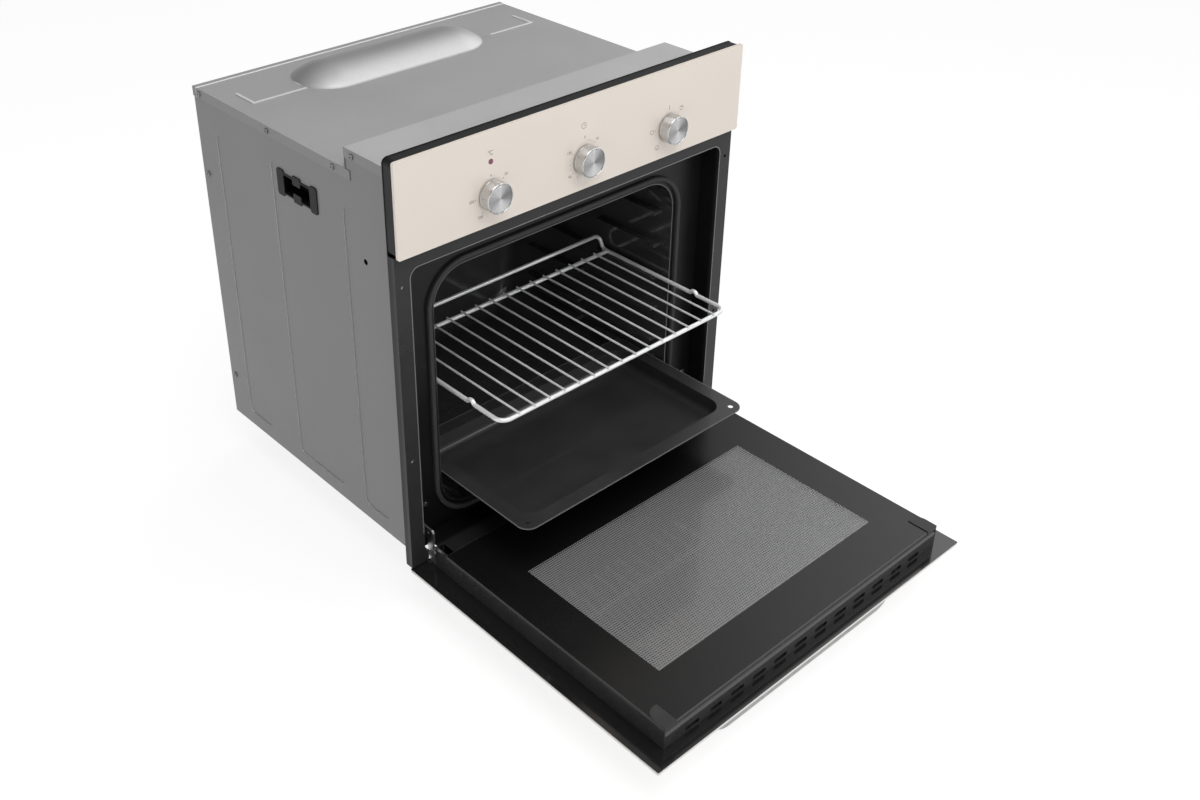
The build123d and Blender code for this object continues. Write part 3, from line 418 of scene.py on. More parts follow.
def tray_finish():
    """Satin black enamel with a painted highlight: a lighter line right at the rim's edge."""
    f = new_finish("tray_enamel")
    p = f.point()
    x, y = f.axes(p)[:2]
    corner = 18.0 * mm
    centre = middle("baking_tray")
    half = high("baking_tray") - centre
    along = (abs(x) - (half.x - corner)).most(0.0)
    across = (abs(y - centre.y) - (half.y - corner)).most(0.0)
    # Painted highlight: a thin lighter band along the rim's edge.
    edge = (along * along + across * across).root().spread(corner - 1.6 * mm, corner - 0.9 * mm)
    waves, slow = enamel_skin(f, p, 300.0)
    skin = f.blend(slow, (0.021, 0.021, 0.021), (0.036, 0.036, 0.036))
    return f.surface(f.body({"Base Color": f.blend(edge, skin, (0.13, 0.13, 0.13)), "Coat Weight": 0.2,
                             "Coat Roughness": 0.04, "Roughness": 0.34 + (slow - 0.5) * 0.25,
                             "Normal": f.bump(waves, 0.00006, 0.5)}))


def cavity_finish():
    """Glossy black enamel, painted lighter grey towards the rear wall, painted light against the shade that
    falls there.
    """
    f = new_finish("cavity_enamel")
    p = f.point()
    y = f.axes(p)[1]
    waves, slow = enamel_skin(f, p, 160.0)
    pits = pin_holes(f, p)
    # Painted light: the colour turns a lighter grey towards the rear wall.
    rear = y.spread(20.0 * mm, 130.0 * mm)
    share = (slow * 0.7 + pits * 0.3).held()
    black = f.blend(share, (0.034, 0.034, 0.034), (0.060, 0.060, 0.060))
    grey = f.blend(share, (0.060, 0.060, 0.060), (0.095, 0.095, 0.095))
    return f.surface(f.body({"Base Color": f.blend(rear, black, grey), "Coat Weight": 0.6,
                             "Coat Roughness": 0.04, "Roughness": 0.12 + (slow - 0.5) * 0.10 + pits * 0.12,
                             "Normal": f.bump(waves, 0.0002, 0.5)}))


def plastic_finish(name, colour, roughness, shine=0.5):
    """Moulded plastic with a spark-eroded grain."""
    f = new_finish(name)
    p = f.point()
    skin = f.noise(p, 1400.0, 3.0, 0.6)
    scuff = f.noise(p, 40.0, 4.0, 0.6)
    base = f.blend(scuff.spread(0.35, 0.8), colour, tuple(c * 1.35 + 0.004 for c in colour))
    return f.surface(f.body({"Base Color": base, "Roughness": roughness + (scuff - 0.5) * 0.2,
                             "Specular IOR Level": shine, "Normal": f.bump(skin, 0.00018, 0.5)}))


def seal_finish():
    """A braided glass-fibre cord over a wire core, seen as small slanting stitches."""
    f = new_finish("braided_seal")
    p = f.point()
    x, y, z = f.axes(p)
    one = ((x + z + y) * 1900.0).sine()
    two = ((x - z + y * 0.5) * 1900.0).sine()
    stitch = (one * two) * 0.5 + 0.5
    fuzz = f.noise(p, 900.0, 3.0, 0.7)
    base = f.blend((stitch * 0.6 + fuzz * 0.4).held(), (0.012, 0.012, 0.012), (0.055, 0.054, 0.052))
    return f.surface(f.body({"Base Color": base, "Roughness": 0.75 + (fuzz - 0.5) * 0.2,
                             "Normal": f.bump(stitch + fuzz * 0.4, 0.0005, 0.7)}))


def wool_finish():
    """Pressed mineral wool."""
    f = new_finish("mineral_wool")
    p = f.point()
    fibre = f.noise(f.scaled(p, (1.0, 3.0, 6.0)), 160.0, 6.0, 0.75)
    tuft = f.noise(p, 30.0, 4.0, 0.6)
    base = f.blend((fibre * 0.6 + tuft * 0.4).held(), (0.42, 0.34, 0.14), (0.80, 0.73, 0.50))
    return f.surface(f.body({"Base Color": base, "Roughness": 0.9 + (fibre - 0.5) * 0.15,
                             "Normal": f.bump(fibre + tuft, 0.003, 0.9)}))


# Finishes of glass

cream_dark = (0.725, 0.655, 0.585)
cream_light = (0.765, 0.695, 0.625)
window_y = -497.5 * mm
window_half_x = 207.0 * mm
window_half_y = 118.0 * mm
window_fade = 0.3 * mm
dot_pitch = 3.5 * mm
dot_rim = 0.45
dot_heart = 0.33
inner_ground = 0.35 * mm
outer_ground = 0.5 * mm


def cream_glass_finish():
    """Toughened glass with a warm cream print behind it."""
    f = new_finish("cream_glass")
    p = f.point()
    cloud = f.noise(p, 5.0, 3.0, 0.5)
    fine = f.noise(p, 2500.0, 2.0, 0.5)
    dust = f.noise(p, 320.0, 5.0, 0.7).spread(0.62, 0.78)
    base = f.blend((cloud * 0.75 + fine * 0.25).held(), cream_dark, cream_light)
    return f.surface(f.body({"Base Color": base, "Roughness": 0.20 + dust * 0.15 + (cloud - 0.5) * 0.05,
                             "Coat Weight": 0.35 - dust * 0.2, "Coat Roughness": 0.03,
                             "Normal": f.bump(cloud, 0.0004, 0.2)}))


def smears(f, p):
    """Faint wiping marks on glass."""
    return f.noise(f.scaled(p, (1.0, 1.6, 1.0)), 12.0, 4.0, 0.6)


def mirrored(f):
    """The share of light that clear glass mirrors: more the flatter it is seen, from either side."""
    slant = f.node("ShaderNodeLayerWeight", {}, {"Blend": 0.5}, "Facing")
    return slant ** 5.0 * 0.9 + 0.05


def clear_mix(f, body, tint, share):
    """Looks through to what is behind, with the surface's own shine on top."""
    through = f.node("ShaderNodeBsdfTransparent", {}, {"Color": tint})
    return f.node("ShaderNodeMixShader", {}, {0: share, 1: through, 2: body})


def clear_finish():
    """The lamp's clear glass with a trace of haze."""
    f = new_finish("lamp_clear_glass")
    smear = smears(f, f.point())
    share = (mirrored(f) + smear.spread(0.5, 0.9) * 0.05).held()
    body = f.body({"Base Color": (0.90, 0.92, 0.92), "Metallic": 1.0, "Roughness": 0.02 + smear * 0.06})
    return f.surface(clear_mix(f, body, (0.93, 0.95, 0.94), share))


def window_mask(x, y):
    """One inside the door's window, nought outside it."""
    inside = (window_half_x - abs(x)).least(window_half_y - abs(y - window_y))
    return inside.spread(-window_fade, window_fade)


def dot_mask(x, y):
    """One on each dot of a staggered field of fine dots."""
    row = y / dot_pitch
    shift = (row.sum("FLOOR") * 0.5).part()
    u = (x / dot_pitch + shift).part() - 0.5
    v = row.part() - 0.5
    return (u * u + v * v).root().spread(dot_rim, dot_heart)


def inner_pane_finish():
    """Clear glass with a black printed border, and a window of fine grey dots that is seen through."""
    f = new_finish("inner_pane")
    p = f.point()
    x, y = f.axes(p)[:2]
    window = window_mask(x, y)
    dots = window * dot_mask(x, y)
    centre = middle("door_inner_glass")
    half = high("door_inner_glass") - centre
    ends = abs(y - centre.y) - (half.y - inner_ground)
    sides = abs(x) - (half.x - inner_ground)
    ground = ends.most(sides).above(0.0)
    printed = (1.0 - window).most(dots).most(ground)
    smear = smears(f, p)
    fine = f.noise(p, 1200.0, 2.0, 0.5)
    black = f.blend(fine, (0.004, 0.004, 0.004), (0.007, 0.007, 0.007))
    grey = f.blend(fine, (0.20, 0.20, 0.20), (0.27, 0.27, 0.27))
    print_colour = f.blend(dots, black, grey)
    edged = f.blend(ground, print_colour, (0.065, 0.065, 0.065))
    base = f.blend(printed, (0.90, 0.92, 0.92), edged)
    body = f.body({"Base Color": base, "Metallic": 1.0 - printed, "Specular IOR Level": 0.4,
                   "Roughness": 0.03 + smear * 0.05 + printed * 0.20 + ground * 0.1})
    return f.surface(clear_mix(f, body, (0.90, 0.91, 0.91), printed.most(mirrored(f).held())))


def outer_pane_finish():
    """The outer pane: cream outside and on its edge, black inside, with a dark window."""
    f = new_finish("printed_pane")
    p = f.point()
    x, y, z = f.axes(p)
    window = window_mask(x, y)
    near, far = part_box("door_outer_glass")
    cloud = f.noise(p, 9.0, 3.0, 0.5)
    fine = f.noise(p, 1200.0, 2.0, 0.5)
    black = f.blend((cloud * 0.6 + fine * 0.4).held(), (0.008, 0.008, 0.008), (0.014, 0.014, 0.014))
    cream = f.blend(cloud, cream_dark, cream_light)
    outside = f.blend(window, cream, black)
    edge = (abs(x) - (far.x - outer_ground)).most(near.y + outer_ground - y)
    ground = f.blend(edge.above(0.0), outside, (0.72, 0.70, 0.67))
    inside = z.spread(far.z - 0.4 * mm, far.z - 0.2 * mm)
    return f.surface(f.body({"Base Color": f.blend(inside, ground, black),
                             "Roughness": 0.15 + (cloud - 0.5) * 0.06,
                             "Coat Weight": 0.3, "Coat Roughness": 0.03,
                             "Normal": f.bump(cloud, 0.0003, 0.2)}))


def ink_finish(name, colour):
    """Printed or painted marks, a little uneven."""
    f = new_finish(name)
    p = f.point()
    grain = f.noise(p, 3000.0, 3.0, 0.6)
    base = f.blend(grain, tuple(c * 0.85 for c in colour), tuple(min(1.0, c * 1.15) for c in colour))
    return f.surface(f.body({"Base Color": base, "Roughness": 0.4 + (grain - 0.5) * 0.2,
                             "Normal": f.bump(grain, 0.00002, 0.3)}))


def lens_finish():
    """A dark magenta lens with a faint inner glow of facets."""
    f = new_finish("magenta_lens")
    p = f.point()
    facets = f.cells(p, 1300.0)
    base = f.blend(facets.spread(0.1, 0.6), (0.09, 0.010, 0.035), (0.20, 0.028, 0.09))
    return f.surface(f.body({"Base Color": base, "Roughness": 0.12 + facets * 0.1, "Coat Weight": 0.6,
                             "Normal": f.bump(facets, 0.0002, 0.4)}))


def ceramic_finish():
    """Glazed ceramic with small specks."""
    f = new_finish("glazed_ceramic")
    p = f.point()
    speck = f.noise(p, 600.0, 3.0, 0.6)
    base = f.blend(speck.spread(0.4, 0.8), (0.80, 0.79, 0.75), (0.66, 0.64, 0.58))
    return f.surface(f.body({"Base Color": base, "Roughness": 0.3 + (speck - 0.5) * 0.2,
                             "Normal": f.bump(speck, 0.0001, 0.3)}))


upright = (0, 0, 1)
crosswise = (1, 0, 0)
# The sides and the covers are the same zinc-coated steel: the sides get a much darker copy of its colour,
# painted shade, and the covers a lighter one, painted light.
shaded_side_steel = sheet_finish("shaded_side_steel", (0.205, 0.205, 0.207), 0.45, upright, paints_wall_light=True)
top_sheet = sheet_finish("top_sheet", (0.43, 0.43, 0.43), 0.35, crosswise, flange_shade=0.53, paints_cover_light=True)
front_top_sheet = sheet_finish("front_top_sheet", (0.52, 0.52, 0.52), 0.35, crosswise, flange_shade=0.44)
rear_sheet = sheet_finish("rear_sheet", (0.33, 0.33, 0.335), 0.5, upright)
frame_enamel = frame_finish()
# Painted highlight: the rolled bead gets a grey far lighter than the frame's black enamel, on top of the
# light its real rounded shape catches.
bead_highlight_enamel = enamel_finish("bead_highlight_enamel", (0.10, 0.10, 0.10), 0.24, 700.0, 0.5)
cavity_enamel = cavity_finish()
tray_enamel = tray_finish()
carrier_paint = enamel_finish("carrier_paint", (0.009, 0.009, 0.0095), 0.50, 1200.0, 0.0, 0.22)
door_paint = enamel_finish("door_paint", (0.024, 0.024, 0.025), 0.27, 1000.0, 0.3)
zinc = plated_finish("zinc_plate", (0.55, 0.55, 0.54), 0.30)
shaft_steel = plated_finish("shaft_steel", (0.58, 0.57, 0.56), 0.25)
hinge_paint = enamel_finish("hinge_paint", (0.007, 0.007, 0.007), 0.45, 1000.0, 0.0)
screw_zinc = plated_finish("screw_zinc", (0.27, 0.27, 0.27), 0.40)
handle_metal = plated_finish("satin_bar", (0.40, 0.40, 0.395), 0.36)
dark_screw = plated_finish("dark_screw", (0.16, 0.16, 0.16), 0.34)
wire = wire_finish()
tube = tube_finish()
black_plastic = plastic_finish("black_plastic", (0.014, 0.014, 0.014), 0.5)
grip_plastic = plastic_finish("grip_plastic", (0.007, 0.007, 0.007), 0.5, shine=0.2)
pale_plastic = plastic_finish("pale_plastic", (0.66, 0.64, 0.58), 0.45)
seal = seal_finish()
wool = wool_finish()
cream_glass = cream_glass_finish()
clear_glass = clear_finish()
inner_pane = inner_pane_finish()
printed_pane = outer_pane_finish()
lens = lens_finish()
ceramic = ceramic_finish()
print_ink = ink_finish("print_ink", (0.15, 0.145, 0.135))
pointer_paint = ink_finish("pointer_paint", (0.85, 0.85, 0.85))
# Painted shade: the dark of the screws' cross recesses.
recess_shade = ink_finish("recess_shade", (0.05, 0.05, 0.05))

finish_of = {
    "base_panel": rear_sheet, "side_panel_right": shaded_side_steel, "side_panel_left": shaded_side_steel,
    "rear_panel": rear_sheet, "top_cover": top_sheet, "front_top_cover": front_top_sheet,
    "carrying_grip_right": grip_plastic, "carrying_grip_left": grip_plastic,
    "casing_screws": screw_zinc, "front_frame": frame_enamel, "frame_screws": dark_screw,
    "cavity_liner": cavity_enamel, "cavity_seal": seal,
    "heating_element_top": tube, "heating_element_bottom": tube, "element_clips": tube,
    "insulation": wool, "lamp_holder": ceramic, "lamp_glass": clear_glass, "lamp_bulb": clear_glass,
    "panel_glass": cream_glass, "panel_carrier": carrier_paint, "indicator_lens": lens,
    "thermostat_body": pale_plastic, "function_switch_body": pale_plastic, "timer_body": pale_plastic,
    "thermostat_shaft": shaft_steel, "function_switch_shaft": shaft_steel, "timer_shaft": shaft_steel,
    "terminal_block": pale_plastic, "cable_gland": black_plastic,
    "door_outer_glass": printed_pane, "door_inner_glass": inner_pane,
    "door_side_profile_right": door_paint, "door_side_profile_left": door_paint,
    "door_end_profile": door_paint, "door_hinge_profile": hinge_paint,
    "door_corner_caps": black_plastic, "door_handle": handle_metal, "door_handle_screws": zinc,
    "hinge_case_right": zinc, "hinge_case_left": zinc, "hinge_pins": zinc,
    "hinge_arm_right": zinc, "hinge_arm_left": zinc, "hinge_receiver_right": rear_sheet,
    "hinge_receiver_left": rear_sheet, "hinge_rollers": zinc,
    "wire_rack": wire, "baking_tray": tray_enamel,
}
for name, material in finish_of.items():
    for slot in nodes[name].material_slots:
        slot.material = material


# How a new piece is made

sharp_angle = math.radians(35.0)
doubled = 1e-7


def piece(name, shape, body, material):
    """Turns a bmesh into a piece that rides on a body."""
    bmesh.ops.remove_doubles(shape, verts=shape.verts, dist=doubled)
    bmesh.ops.recalc_face_normals(shape, faces=shape.faces)
    mesh = bpy.data.meshes.new(name)
    shape.to_mesh(mesh)
    shape.free()
    made = bpy.data.objects.new(name, mesh)
    bpy.context.scene.collection.objects.link(made)
    mesh.materials.append(material)
    for face in mesh.polygons:
        face.use_smooth = True
    mesh.set_sharp_from_angle(angle=sharp_angle)
    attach(made, body)
    return made


def turn(shape, profile, x, z, steps):
    """Spins a profile of (radius, distance along Y) round the Y line through x and z."""
    points = [shape.verts.new((x + r, y, z)) for r, y in profile]
    edges = [shape.edges.new(pair) for pair in zip(points, points[1:])]
    bmesh.ops.spin(shape, geom=points + edges, cent=(x, 0, z), axis=(0, 1, 0), angle=math.tau,
                   steps=steps, use_merge=True)


def raise_faces(shape, faces, way):
    """Thickens flat faces by the vector way."""
    made = bmesh.ops.extrude_face_region(shape, geom=faces)["geom"]
    bmesh.ops.translate(shape, verts=[v for v in made if isinstance(v, bmesh.types.BMVert)], vec=way)


def eased(shape, edges, radius, steps):
    """Rounds edges over."""
    bmesh.ops.bevel(shape, geom=edges, offset=radius, affect="EDGES", segments=steps, profile=0.5,
                    material=-1)


# Turned knobs

ridge_pitch = 0.7 * mm
ridge_height = 0.06 * mm
face_depth = 0.6 * mm
rim_width = 1.85 * mm
knob_steps = 96
pointer_steps = 24


def turned_ridges(inner, outer, level):
    """Points (radius, Y) of a lathe-turned face, whose fine ridges catch the light in sectors."""
    count = int((outer - inner) / ridge_pitch * 4)
    points = []
    for i in range(count + 1):
        r = inner + (outer - inner) * i / count
        wave = 0.5 - 0.5 * math.cos(i * math.pi / 2 + math.pi / 4)
        points.append((r, level + ridge_height * wave))
    return points


def knob_profile(r, front, back):
    """Points (radius, Y) from the face's middle over the rim and down to the bore for the shaft."""
    face = front + face_depth
    groove = back - 2.3 * mm
    bore = 3.1 * mm
    bore_end = front + 4.0 * mm
    points = [(0.0, face)] + turned_ridges(0.5 * mm, r - 2.3 * mm, face)
    points += [(r - 1.9 * mm, face + 0.15 * mm), (r - rim_width, face + mm), (r - 1.45 * mm, face + mm)]
    points += [(r - 1.4 * mm, front + 0.5 * mm), (r - 1.1 * mm, front + 0.1 * mm), (r - 0.8 * mm, front),
               (r - 0.5 * mm, front + 0.1 * mm), (r - 0.15 * mm, front + 0.45 * mm), (r, front + mm)]
    points += [(r, groove - 0.3 * mm), (r - 0.35 * mm, groove), (r - 0.35 * mm, groove + 0.7 * mm),
               (r, groove + mm)]
    points += [(r, back - 0.4 * mm), (r - 0.4 * mm, back), (bore, back), (bore, bore_end), (0.0, bore_end)]
    return points


def make_knob(name, body):
    """A metal knob: ridged face set in a rim, a fine groove near its foot, a raised pointer dot."""
    near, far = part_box(name)
    centre = middle(name)
    r = far.x - centre.x
    shape = bmesh.new()
    turn(shape, knob_profile(r, near.y, far.y), centre.x, centre.z, knob_steps)
    metal = turned_finish(name + "_metal", centre, near.y + face_depth + 0.2 * mm, r - rim_width)
    knob = piece(name.replace("_knob", "_turned_knob"), shape, body, metal)
    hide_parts(name)
    foot = near.y + face_depth + 0.02 * mm
    shape = bmesh.new()
    turn(shape, [(0.0, near.y + 0.25 * mm), (0.5 * mm, near.y + 0.28 * mm), (0.95 * mm, near.y + 0.45 * mm),
                 (1.1 * mm, foot), (0.0, foot)], centre.x, centre.z + r - 4.6 * mm, pointer_steps)
    piece(name.replace("_knob", "_pointer"), shape, body, pointer_paint)


for control in ("thermostat", "function_switch", "timer"):
    make_knob(control + "_knob", control + "_control")


# Printed marks on the panel

glass_face = low("panel_glass").y
ink_thick = 0.06 * mm


class Print:
    """Collects flat marks on the panel's face."""

    def __init__(self):
        self.shape = bmesh.new()

    def placed(self, verts, x, z, turned=0.0):
        """Stands a mark drawn on the ground up on the glass."""
        up = (Matrix.Translation((x, glass_face, z)) @ Matrix.Rotation(turned, 4, "Y")
              @ Matrix.Rotation(math.pi / 2, 4, "X"))
        bmesh.ops.transform(self.shape, matrix=up, verts=verts)
        raise_faces(self.shape, list({f for v in verts for f in v.link_faces}), (0, -ink_thick, 0))

    def dot(self, x, z, radius):
        made = bmesh.ops.create_circle(self.shape, cap_ends=True, segments=14, radius=radius)
        self.placed(made["verts"], x, z)

    def bar(self, x, z, width, height, turned=0.0):
        made = bmesh.ops.create_grid(self.shape, x_segments=1, y_segments=1, size=0.5)
        bmesh.ops.scale(self.shape, verts=made["verts"], vec=(width, height, 1.0))
        self.placed(made["verts"], x, z, turned)

    def ring(self, x, z, radius, line):
        made = bmesh.ops.create_circle(self.shape, cap_ends=True, segments=28, radius=radius)
        face = list({f for v in made["verts"] for f in v.link_faces})
        inner = bmesh.ops.inset_region(self.shape, faces=face, thickness=line, use_even_offset=True,
                                       use_boundary=True)
        bmesh.ops.delete(self.shape, geom=face, context="FACES_ONLY")
        verts = list({v for f in inner["faces"] for v in f.verts})
        self.placed(verts, x, z)

    def words(self, text, x, z, size):
        """Letters in the plain font, made a mesh before they are placed."""
        curve = bpy.data.curves.new("letters", "FONT")
        curve.body = text
        curve.size = size
        curve.align_x = "CENTER"
        curve.align_y = "CENTER"
        curve.resolution_u = 3
        holder = bpy.data.objects.new("letters", curve)
        bpy.context.scene.collection.objects.link(holder)
        bpy.context.view_layer.update()
        mesh = bpy.data.meshes.new_from_object(holder.evaluated_get(bpy.context.evaluated_depsgraph_get()))
        bpy.data.objects.remove(holder)
        known = set(self.shape.verts)
        self.shape.from_mesh(mesh)
        bpy.data.meshes.remove(mesh)
        self.placed([v for v in self.shape.verts if v not in known], x, z)


def round_dial(node, degrees, radius):
    """X and Z of a place round a knob, clockwise from the top."""
    c = middle(node)
    a = math.radians(degrees)
    return c.x + radius * math.sin(a), c.z + radius * math.cos(a)


dial_dots = 25.0 * mm
dial_words = 31.0 * mm
dial_symbols = 32.0 * mm
number_size = 5.2 * mm
thin_line = 0.5 * mm
symbol_line = 0.6 * mm


def thermostat_marks(marks):
    """A start dot, then degrees with a dot at each, and the sign for them over the signal lens."""
    node = "thermostat_knob"
    marks.dot(*round_dial(node, 0, dial_dots), 0.9 * mm)
    for degrees, text in ((50, "50"), (100, "100"), (152, "150"), (215, "200"), (268, "250")):
        marks.dot(*round_dial(node, degrees, dial_dots), 0.7 * mm)
        marks.words(text, *round_dial(node, degrees, dial_words), number_size)
    signal = middle("indicator_lens")
    marks.words("C", signal.x + 1.2 * mm, signal.z + 11.0 * mm, 8.5 * mm)
    marks.ring(signal.x - 3.2 * mm, signal.z + 13.4 * mm, 1.2 * mm, thin_line)


def timer_marks(marks):
    """Minutes, small dots between them, and a clock above."""
    node = "timer_knob"
    marks.words("0", *round_dial(node, 0, 30.0 * mm), 5.4 * mm)
    for degrees, text in ((45, "30"), (125, "60"), (235, "90"), (300, "120")):
        marks.words(text, *round_dial(node, degrees, dial_words), number_size)
    for degrees in (12, 20, 28, 36, 45, 65, 85, 105, 125, 153, 180, 208, 235, 251, 267, 283, 300):
        marks.dot(*round_dial(node, degrees, dial_dots), 0.6 * mm)
    x, z = round_dial(node, 0, 46.0 * mm)
    x = x - 2.0 * mm
    marks.ring(x, z, 4.2 * mm, symbol_line)
    marks.bar(x, z + 1.3 * mm, thin_line, 2.8 * mm)
    marks.bar(x + 1.1 * mm, z, 2.4 * mm, thin_line)


def function_switch_marks(marks):
    """A tick at the top and three plain symbols: a bar high in a ring, a bare ring, a bar low in one."""
    node = "function_switch_knob"
    marks.bar(*round_dial(node, 0, 28.0 * mm), 0.9 * mm, 6.0 * mm)
    for degrees, bar_above in ((48, 1.7 * mm), (272, None), (222, -1.7 * mm)):
        x, z = round_dial(node, degrees, dial_symbols)
        marks.ring(x, z, 3.4 * mm, symbol_line)
        marks.dot(*round_dial(node, degrees, dial_dots), 0.6 * mm)
        if bar_above:
            marks.bar(x, z + bar_above, 3.4 * mm, symbol_line)


def print_marks():
    """All the marks on the glass, as one piece."""
    marks = Print()
    thermostat_marks(marks)
    timer_marks(marks)
    function_switch_marks(marks)
    piece("panel_marks", marks.shape, "casing", print_ink)


print_marks()


# Small fittings

def separate_boxes(node):
    """Low and high corners of each separate solid of a node."""
    shape = bmesh.new()
    shape.from_mesh(nodes[node].data)
    bmesh.ops.remove_doubles(shape, verts=shape.verts, dist=1e-6)
    boxes, seen = [], set()
    for vert in shape.verts:
        if vert in seen:
            continue
        group, edge_of_group = {vert}, [vert]
        while edge_of_group:
            for edge in edge_of_group.pop().link_edges:
                for end in edge.verts:
                    if end not in group:
                        group.add(end)
                        edge_of_group.append(end)
        seen |= group
        points = [v.co for v in group]
        boxes.append((Vector([min(c[i] for c in points) for i in range(3)]),
                      Vector([max(c[i] for c in points) for i in range(3)])))
    shape.free()
    return boxes


cross_size = 4.0 * mm
cross_arm = 0.26
cross_depth = 0.16 * mm
cross_corner = 0.08


def cross_recess(shape, place, outward, turned):
    """The cross recess in a screw's head as painted shade: two short dark bars, a hair proud of it."""
    facing = Vector((0, 0, 1)).rotation_difference(outward).to_matrix().to_4x4()
    on_head = Matrix.Translation(place) @ facing @ Matrix.Rotation(turned, 4, "Z")
    thin = cross_size * cross_arm
    for width, height in ((cross_size, thin), (thin, cross_size)):
        bar = bmesh.ops.create_cube(shape, size=1.0)["verts"]
        bmesh.ops.scale(shape, verts=bar, vec=(width, height, cross_depth))
        edges = {e for v in bar for e in v.link_edges}
        edges = [e for e in edges if abs(e.verts[0].co.z - e.verts[1].co.z) > cross_depth / 2]
        bmesh.ops.transform(shape, matrix=on_head, verts=bar)
        eased(shape, edges, cross_size * cross_corner, 2)


def screw_recesses():
    """A cross on each screw's head, each turned its own way."""
    shape = bmesh.new()
    for i, (a, b) in enumerate(separate_boxes("casing_screws")):
        side = 1.0 if a.x > 0 else -1.0
        head = (a + b) / 2
        head.x = b.x if side > 0 else a.x
        cross_recess(shape, head, Vector((side, 0, 0)), i * 0.7)
    for i, (a, b) in enumerate(separate_boxes("frame_screws")):
        head = (a + b) / 2
        head.y = a.y
        cross_recess(shape, head, Vector((0, -1, 0)), i * 0.9 + 0.4)
    piece("screw_recesses", shape, "casing", recess_shade)


rivet_r = 2.3 * mm
rivet_rise = 0.30
rivet_places = ((12.0 * mm, 8.0 * mm), (24.0 * mm, 11.0 * mm))
rivet_proud = 0.1 * mm
slot_plate = Vector((8.0, 0.6, 12.0)) * mm
slot_plate_y = -215.2 * mm
slot_plate_above = 9.0 * mm


def hinge_rivets():
    """Rivet heads on both faces of each hinge plate, and the bright plate seen in the slot above it."""
    shape = bmesh.new()
    for side in ("right", "left"):
        a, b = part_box("hinge_arm_" + side)
        for back, down in rivet_places:
            for face in (a.x - rivet_proud, b.x + rivet_proud):
                ball = bmesh.ops.create_uvsphere(shape, u_segments=20, v_segments=12, radius=rivet_r)
                head = ball["verts"]
                bmesh.ops.scale(shape, verts=head, vec=(rivet_rise, 1.0, 1.0))
                bmesh.ops.translate(shape, verts=head, vec=(face, a.y + back, b.z - down))
        plate = bmesh.ops.create_cube(shape, size=1.0)["verts"]
        bmesh.ops.scale(shape, verts=plate, vec=slot_plate)
        behind_slot = ((a.x + b.x) / 2, slot_plate_y, b.z + slot_plate_above)
        bmesh.ops.translate(shape, verts=plate, vec=behind_slot)
        eased(shape, list({e for v in plate for e in v.link_edges}), 0.2 * mm, 2)
    piece("hinge_rivets", shape, "casing", zinc)


recess_half = 274.8 * mm
recess_foot = 12.0 * mm
recess_top = 448.0 * mm
bead_corner = 15.0 * mm
bead_wide = 1.6 * mm
bead_rise = 0.6 * mm
bead_foot = 48.0 * mm


def recess_bead():
    """The rolled edge round the recess that the door closes into, left off the sill where the hinges pass.

    It is drawn lying on the ground round its own middle, and then stood up on the frame's face.
    """
    width = 2 * (recess_half + bead_wide)
    height = recess_top - recess_foot + 2 * bead_wide
    middle_z = (recess_foot + recess_top) / 2
    shape = bmesh.new()
    outline = bmesh.ops.create_grid(shape, x_segments=1, y_segments=1, size=0.5)["verts"]
    bmesh.ops.scale(shape, verts=outline, vec=(width, height, 1.0))
    bmesh.ops.bevel(shape, geom=outline, offset=bead_corner, affect="VERTICES", segments=8, profile=0.5,
                    material=-1)
    ring = bmesh.ops.inset_region(shape, faces=list(shape.faces), thickness=bead_wide,
                                  use_even_offset=True, use_boundary=True)["faces"]
    bmesh.ops.delete(shape, geom=[f for f in shape.faces if f not in set(ring)], context="FACES")
    raise_faces(shape, list(shape.faces), (0, 0, bead_rise))
    rims = [e for e in shape.edges if all(v.co.z > bead_rise / 2 for v in e.verts)
            and len({round(f.normal.z) for f in e.link_faces}) > 1]
    eased(shape, rims, 0.4 * mm, 3)
    whole = list(shape.verts) + list(shape.edges) + list(shape.faces)
    cut = bmesh.ops.bisect_plane(shape, geom=whole, plane_co=(0, bead_foot - middle_z, 0),
                                 plane_no=(0, -1, 0), clear_outer=True)["geom_cut"]
    bmesh.ops.holes_fill(shape, edges=[e for e in cut if isinstance(e, bmesh.types.BMEdge)])
    stood = Matrix.Translation((0, low("front_frame").y, middle_z)) @ Matrix.Rotation(math.pi / 2, 4, "X")
    bmesh.ops.transform(shape, matrix=stood, verts=shape.verts)
    piece("recess_bead", shape, "casing", bead_highlight_enamel)


screw_recesses()
hinge_rivets()
recess_bead()


# Studio

floor_below_handle = 4.0 * mm
floor_half = 6.0
floor_glow = 0.84


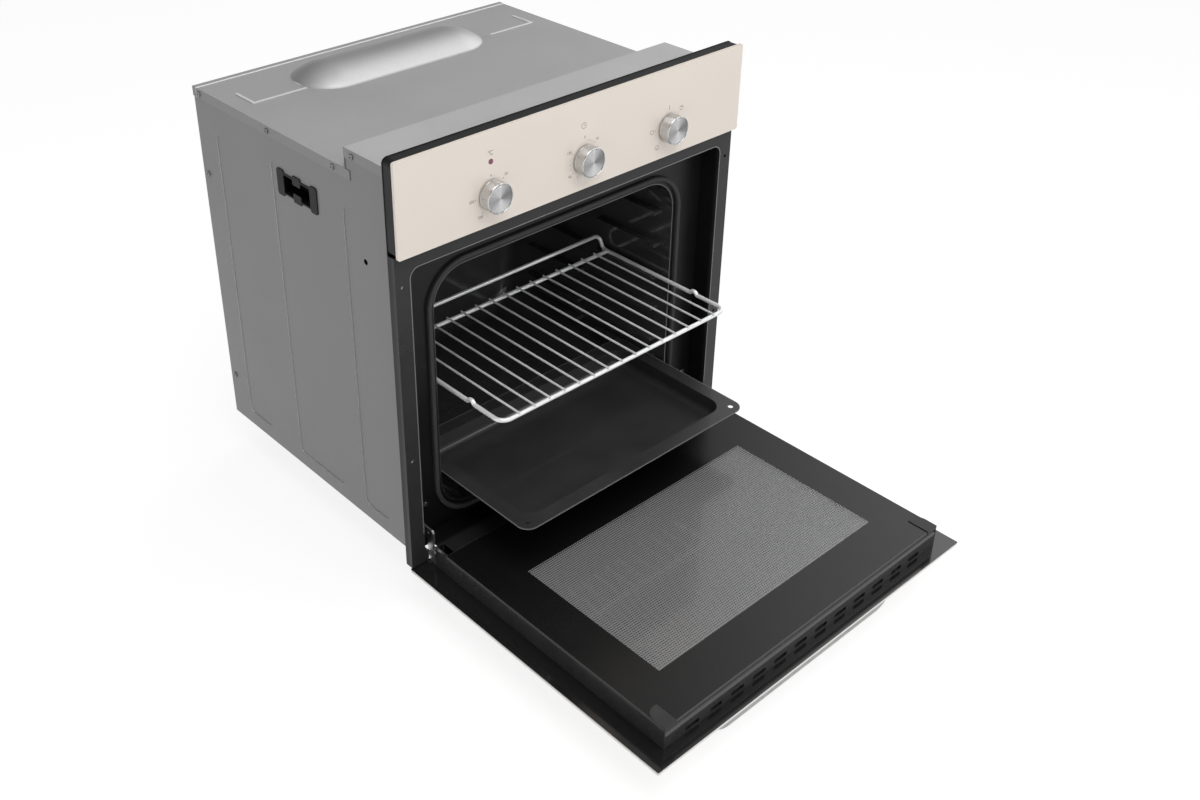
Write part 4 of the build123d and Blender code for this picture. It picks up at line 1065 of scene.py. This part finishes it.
def make_floor():
    """A floor that looks near white in pictures and mirrors, and still takes the oven's shadow."""
    f = new_finish("studio_floor")
    camera, mirror, glass = f.node("ShaderNodeLightPath", output=("Is Camera Ray", "Is Glossy Ray",
                                                                  "Is Transmission Ray"))
    seen = (camera + mirror + glass).held()
    shade = f.node("ShaderNodeBsdfDiffuse", {}, {"Color": (0.22, 0.22, 0.22)})
    glow = f.node("ShaderNodeEmission", {}, {"Color": (1.0, 1.0, 1.0), "Strength": floor_glow})
    shown = f.node("ShaderNodeAddShader", {}, {0: shade, 1: glow})
    lit = f.node("ShaderNodeBsdfDiffuse", {}, {"Color": (0.8, 0.8, 0.8)})
    paint = f.surface(f.node("ShaderNodeMixShader", {}, {0: seen, 1: lit, 2: shown}))
    shape = bmesh.new()
    bmesh.ops.create_grid(shape, x_segments=1, y_segments=1, size=floor_half)
    bmesh.ops.translate(shape, verts=shape.verts, vec=(0, 0, low("door_handle").z - floor_below_handle))
    mesh = bpy.data.meshes.new("studio_floor")
    shape.to_mesh(mesh)
    shape.free()
    mesh.materials.append(paint)
    floor = bpy.data.objects.new("studio_floor", mesh)
    bpy.context.scene.collection.objects.link(floor)


def make_world():
    """A dim room with a brighter band low down, a soft roof light and a window to the right."""
    world = bpy.data.worlds.new("studio")
    bpy.context.scene.world = world
    f = Finish(world)
    direction = f.node("ShaderNodeTexCoord", output="Generated")
    x, y, z = f.axes(direction)
    horizon = z.spread(0.10, 0.38, 0.80, 0.16) - z.spread(0.50, 0.66, 0.0, 0.10)
    roof = z.spread(0.84, 0.99, 0.0, 0.55)
    right = (x * 0.80 + y * 0.05 + z * 0.60).spread(0.82, 0.99, 0.0, 1.9)
    level = horizon + roof + right
    f.surface(f.node("ShaderNodeBackground", {}, {"Color": (1.0, 1.0, 1.0), "Strength": level}))


def lamp(name, place, target, size, watts):
    """A soft rectangular lamp at place, turned towards target."""
    data = bpy.data.lights.new(name, "AREA")
    data.shape = "RECTANGLE"
    data.size, data.size_y = size
    data.energy = watts
    made = bpy.data.objects.new(name, data)
    bpy.context.scene.collection.objects.link(made)
    made.location = place
    made.rotation_mode = "QUATERNION"
    made.rotation_quaternion = (Vector(target) - Vector(place)).to_track_quat("-Z", "Y")
    return made


focal_length = 40.7
film_width = 36.0
camera_place = (-1.100, -1.398, 1.222)
camera_turned = math.radians(41.9)
camera_pitch = math.radians(30.1)
camera_shift = (0.05, -0.083)


def make_camera():
    """Looks from above the oven's front left, over the open door."""
    data = bpy.data.cameras.new("camera")
    data.lens = focal_length
    data.sensor_width = film_width
    data.shift_x, data.shift_y = camera_shift
    data.clip_start = 0.05
    data.clip_end = 50.0
    made = bpy.data.objects.new("camera", data)
    bpy.context.scene.collection.objects.link(made)
    made.location = camera_place
    level = math.cos(camera_pitch)
    down = math.sin(camera_pitch)
    ahead = Vector((math.sin(camera_turned) * level, math.cos(camera_turned) * level, -down))
    made.rotation_mode = "QUATERNION"
    made.rotation_quaternion = ahead.to_track_quat("-Z", "Y")
    bpy.context.scene.camera = made


make_floor()
make_world()
make_camera()
lamp("top_softbox", (-0.3, -1.3, 3.1), (0.0, -0.1, 0.3), (2.4, 2.4), 62.0)
lamp("front_softbox", (-0.6, -3.4, 1.5), (0.0, -0.2, 0.3), (2.2, 1.6), 4.0)
lamp("right_softbox", (1.7, -2.3, 1.7), (0.0, -0.2, 0.4), (0.6, 0.6), 9.0)
lamp("low_softbox", (-0.3, -3.0, 0.5), (0.0, 0.1, 0.25), (1.6, 0.7), 6.0)
lamp("left_softbox", (-3.4, 0.2, 1.2), (0.0, 0.0, 0.3), (2.0, 1.6), 14.0)
bpy.context.scene.view_settings.view_transform = "Standard"
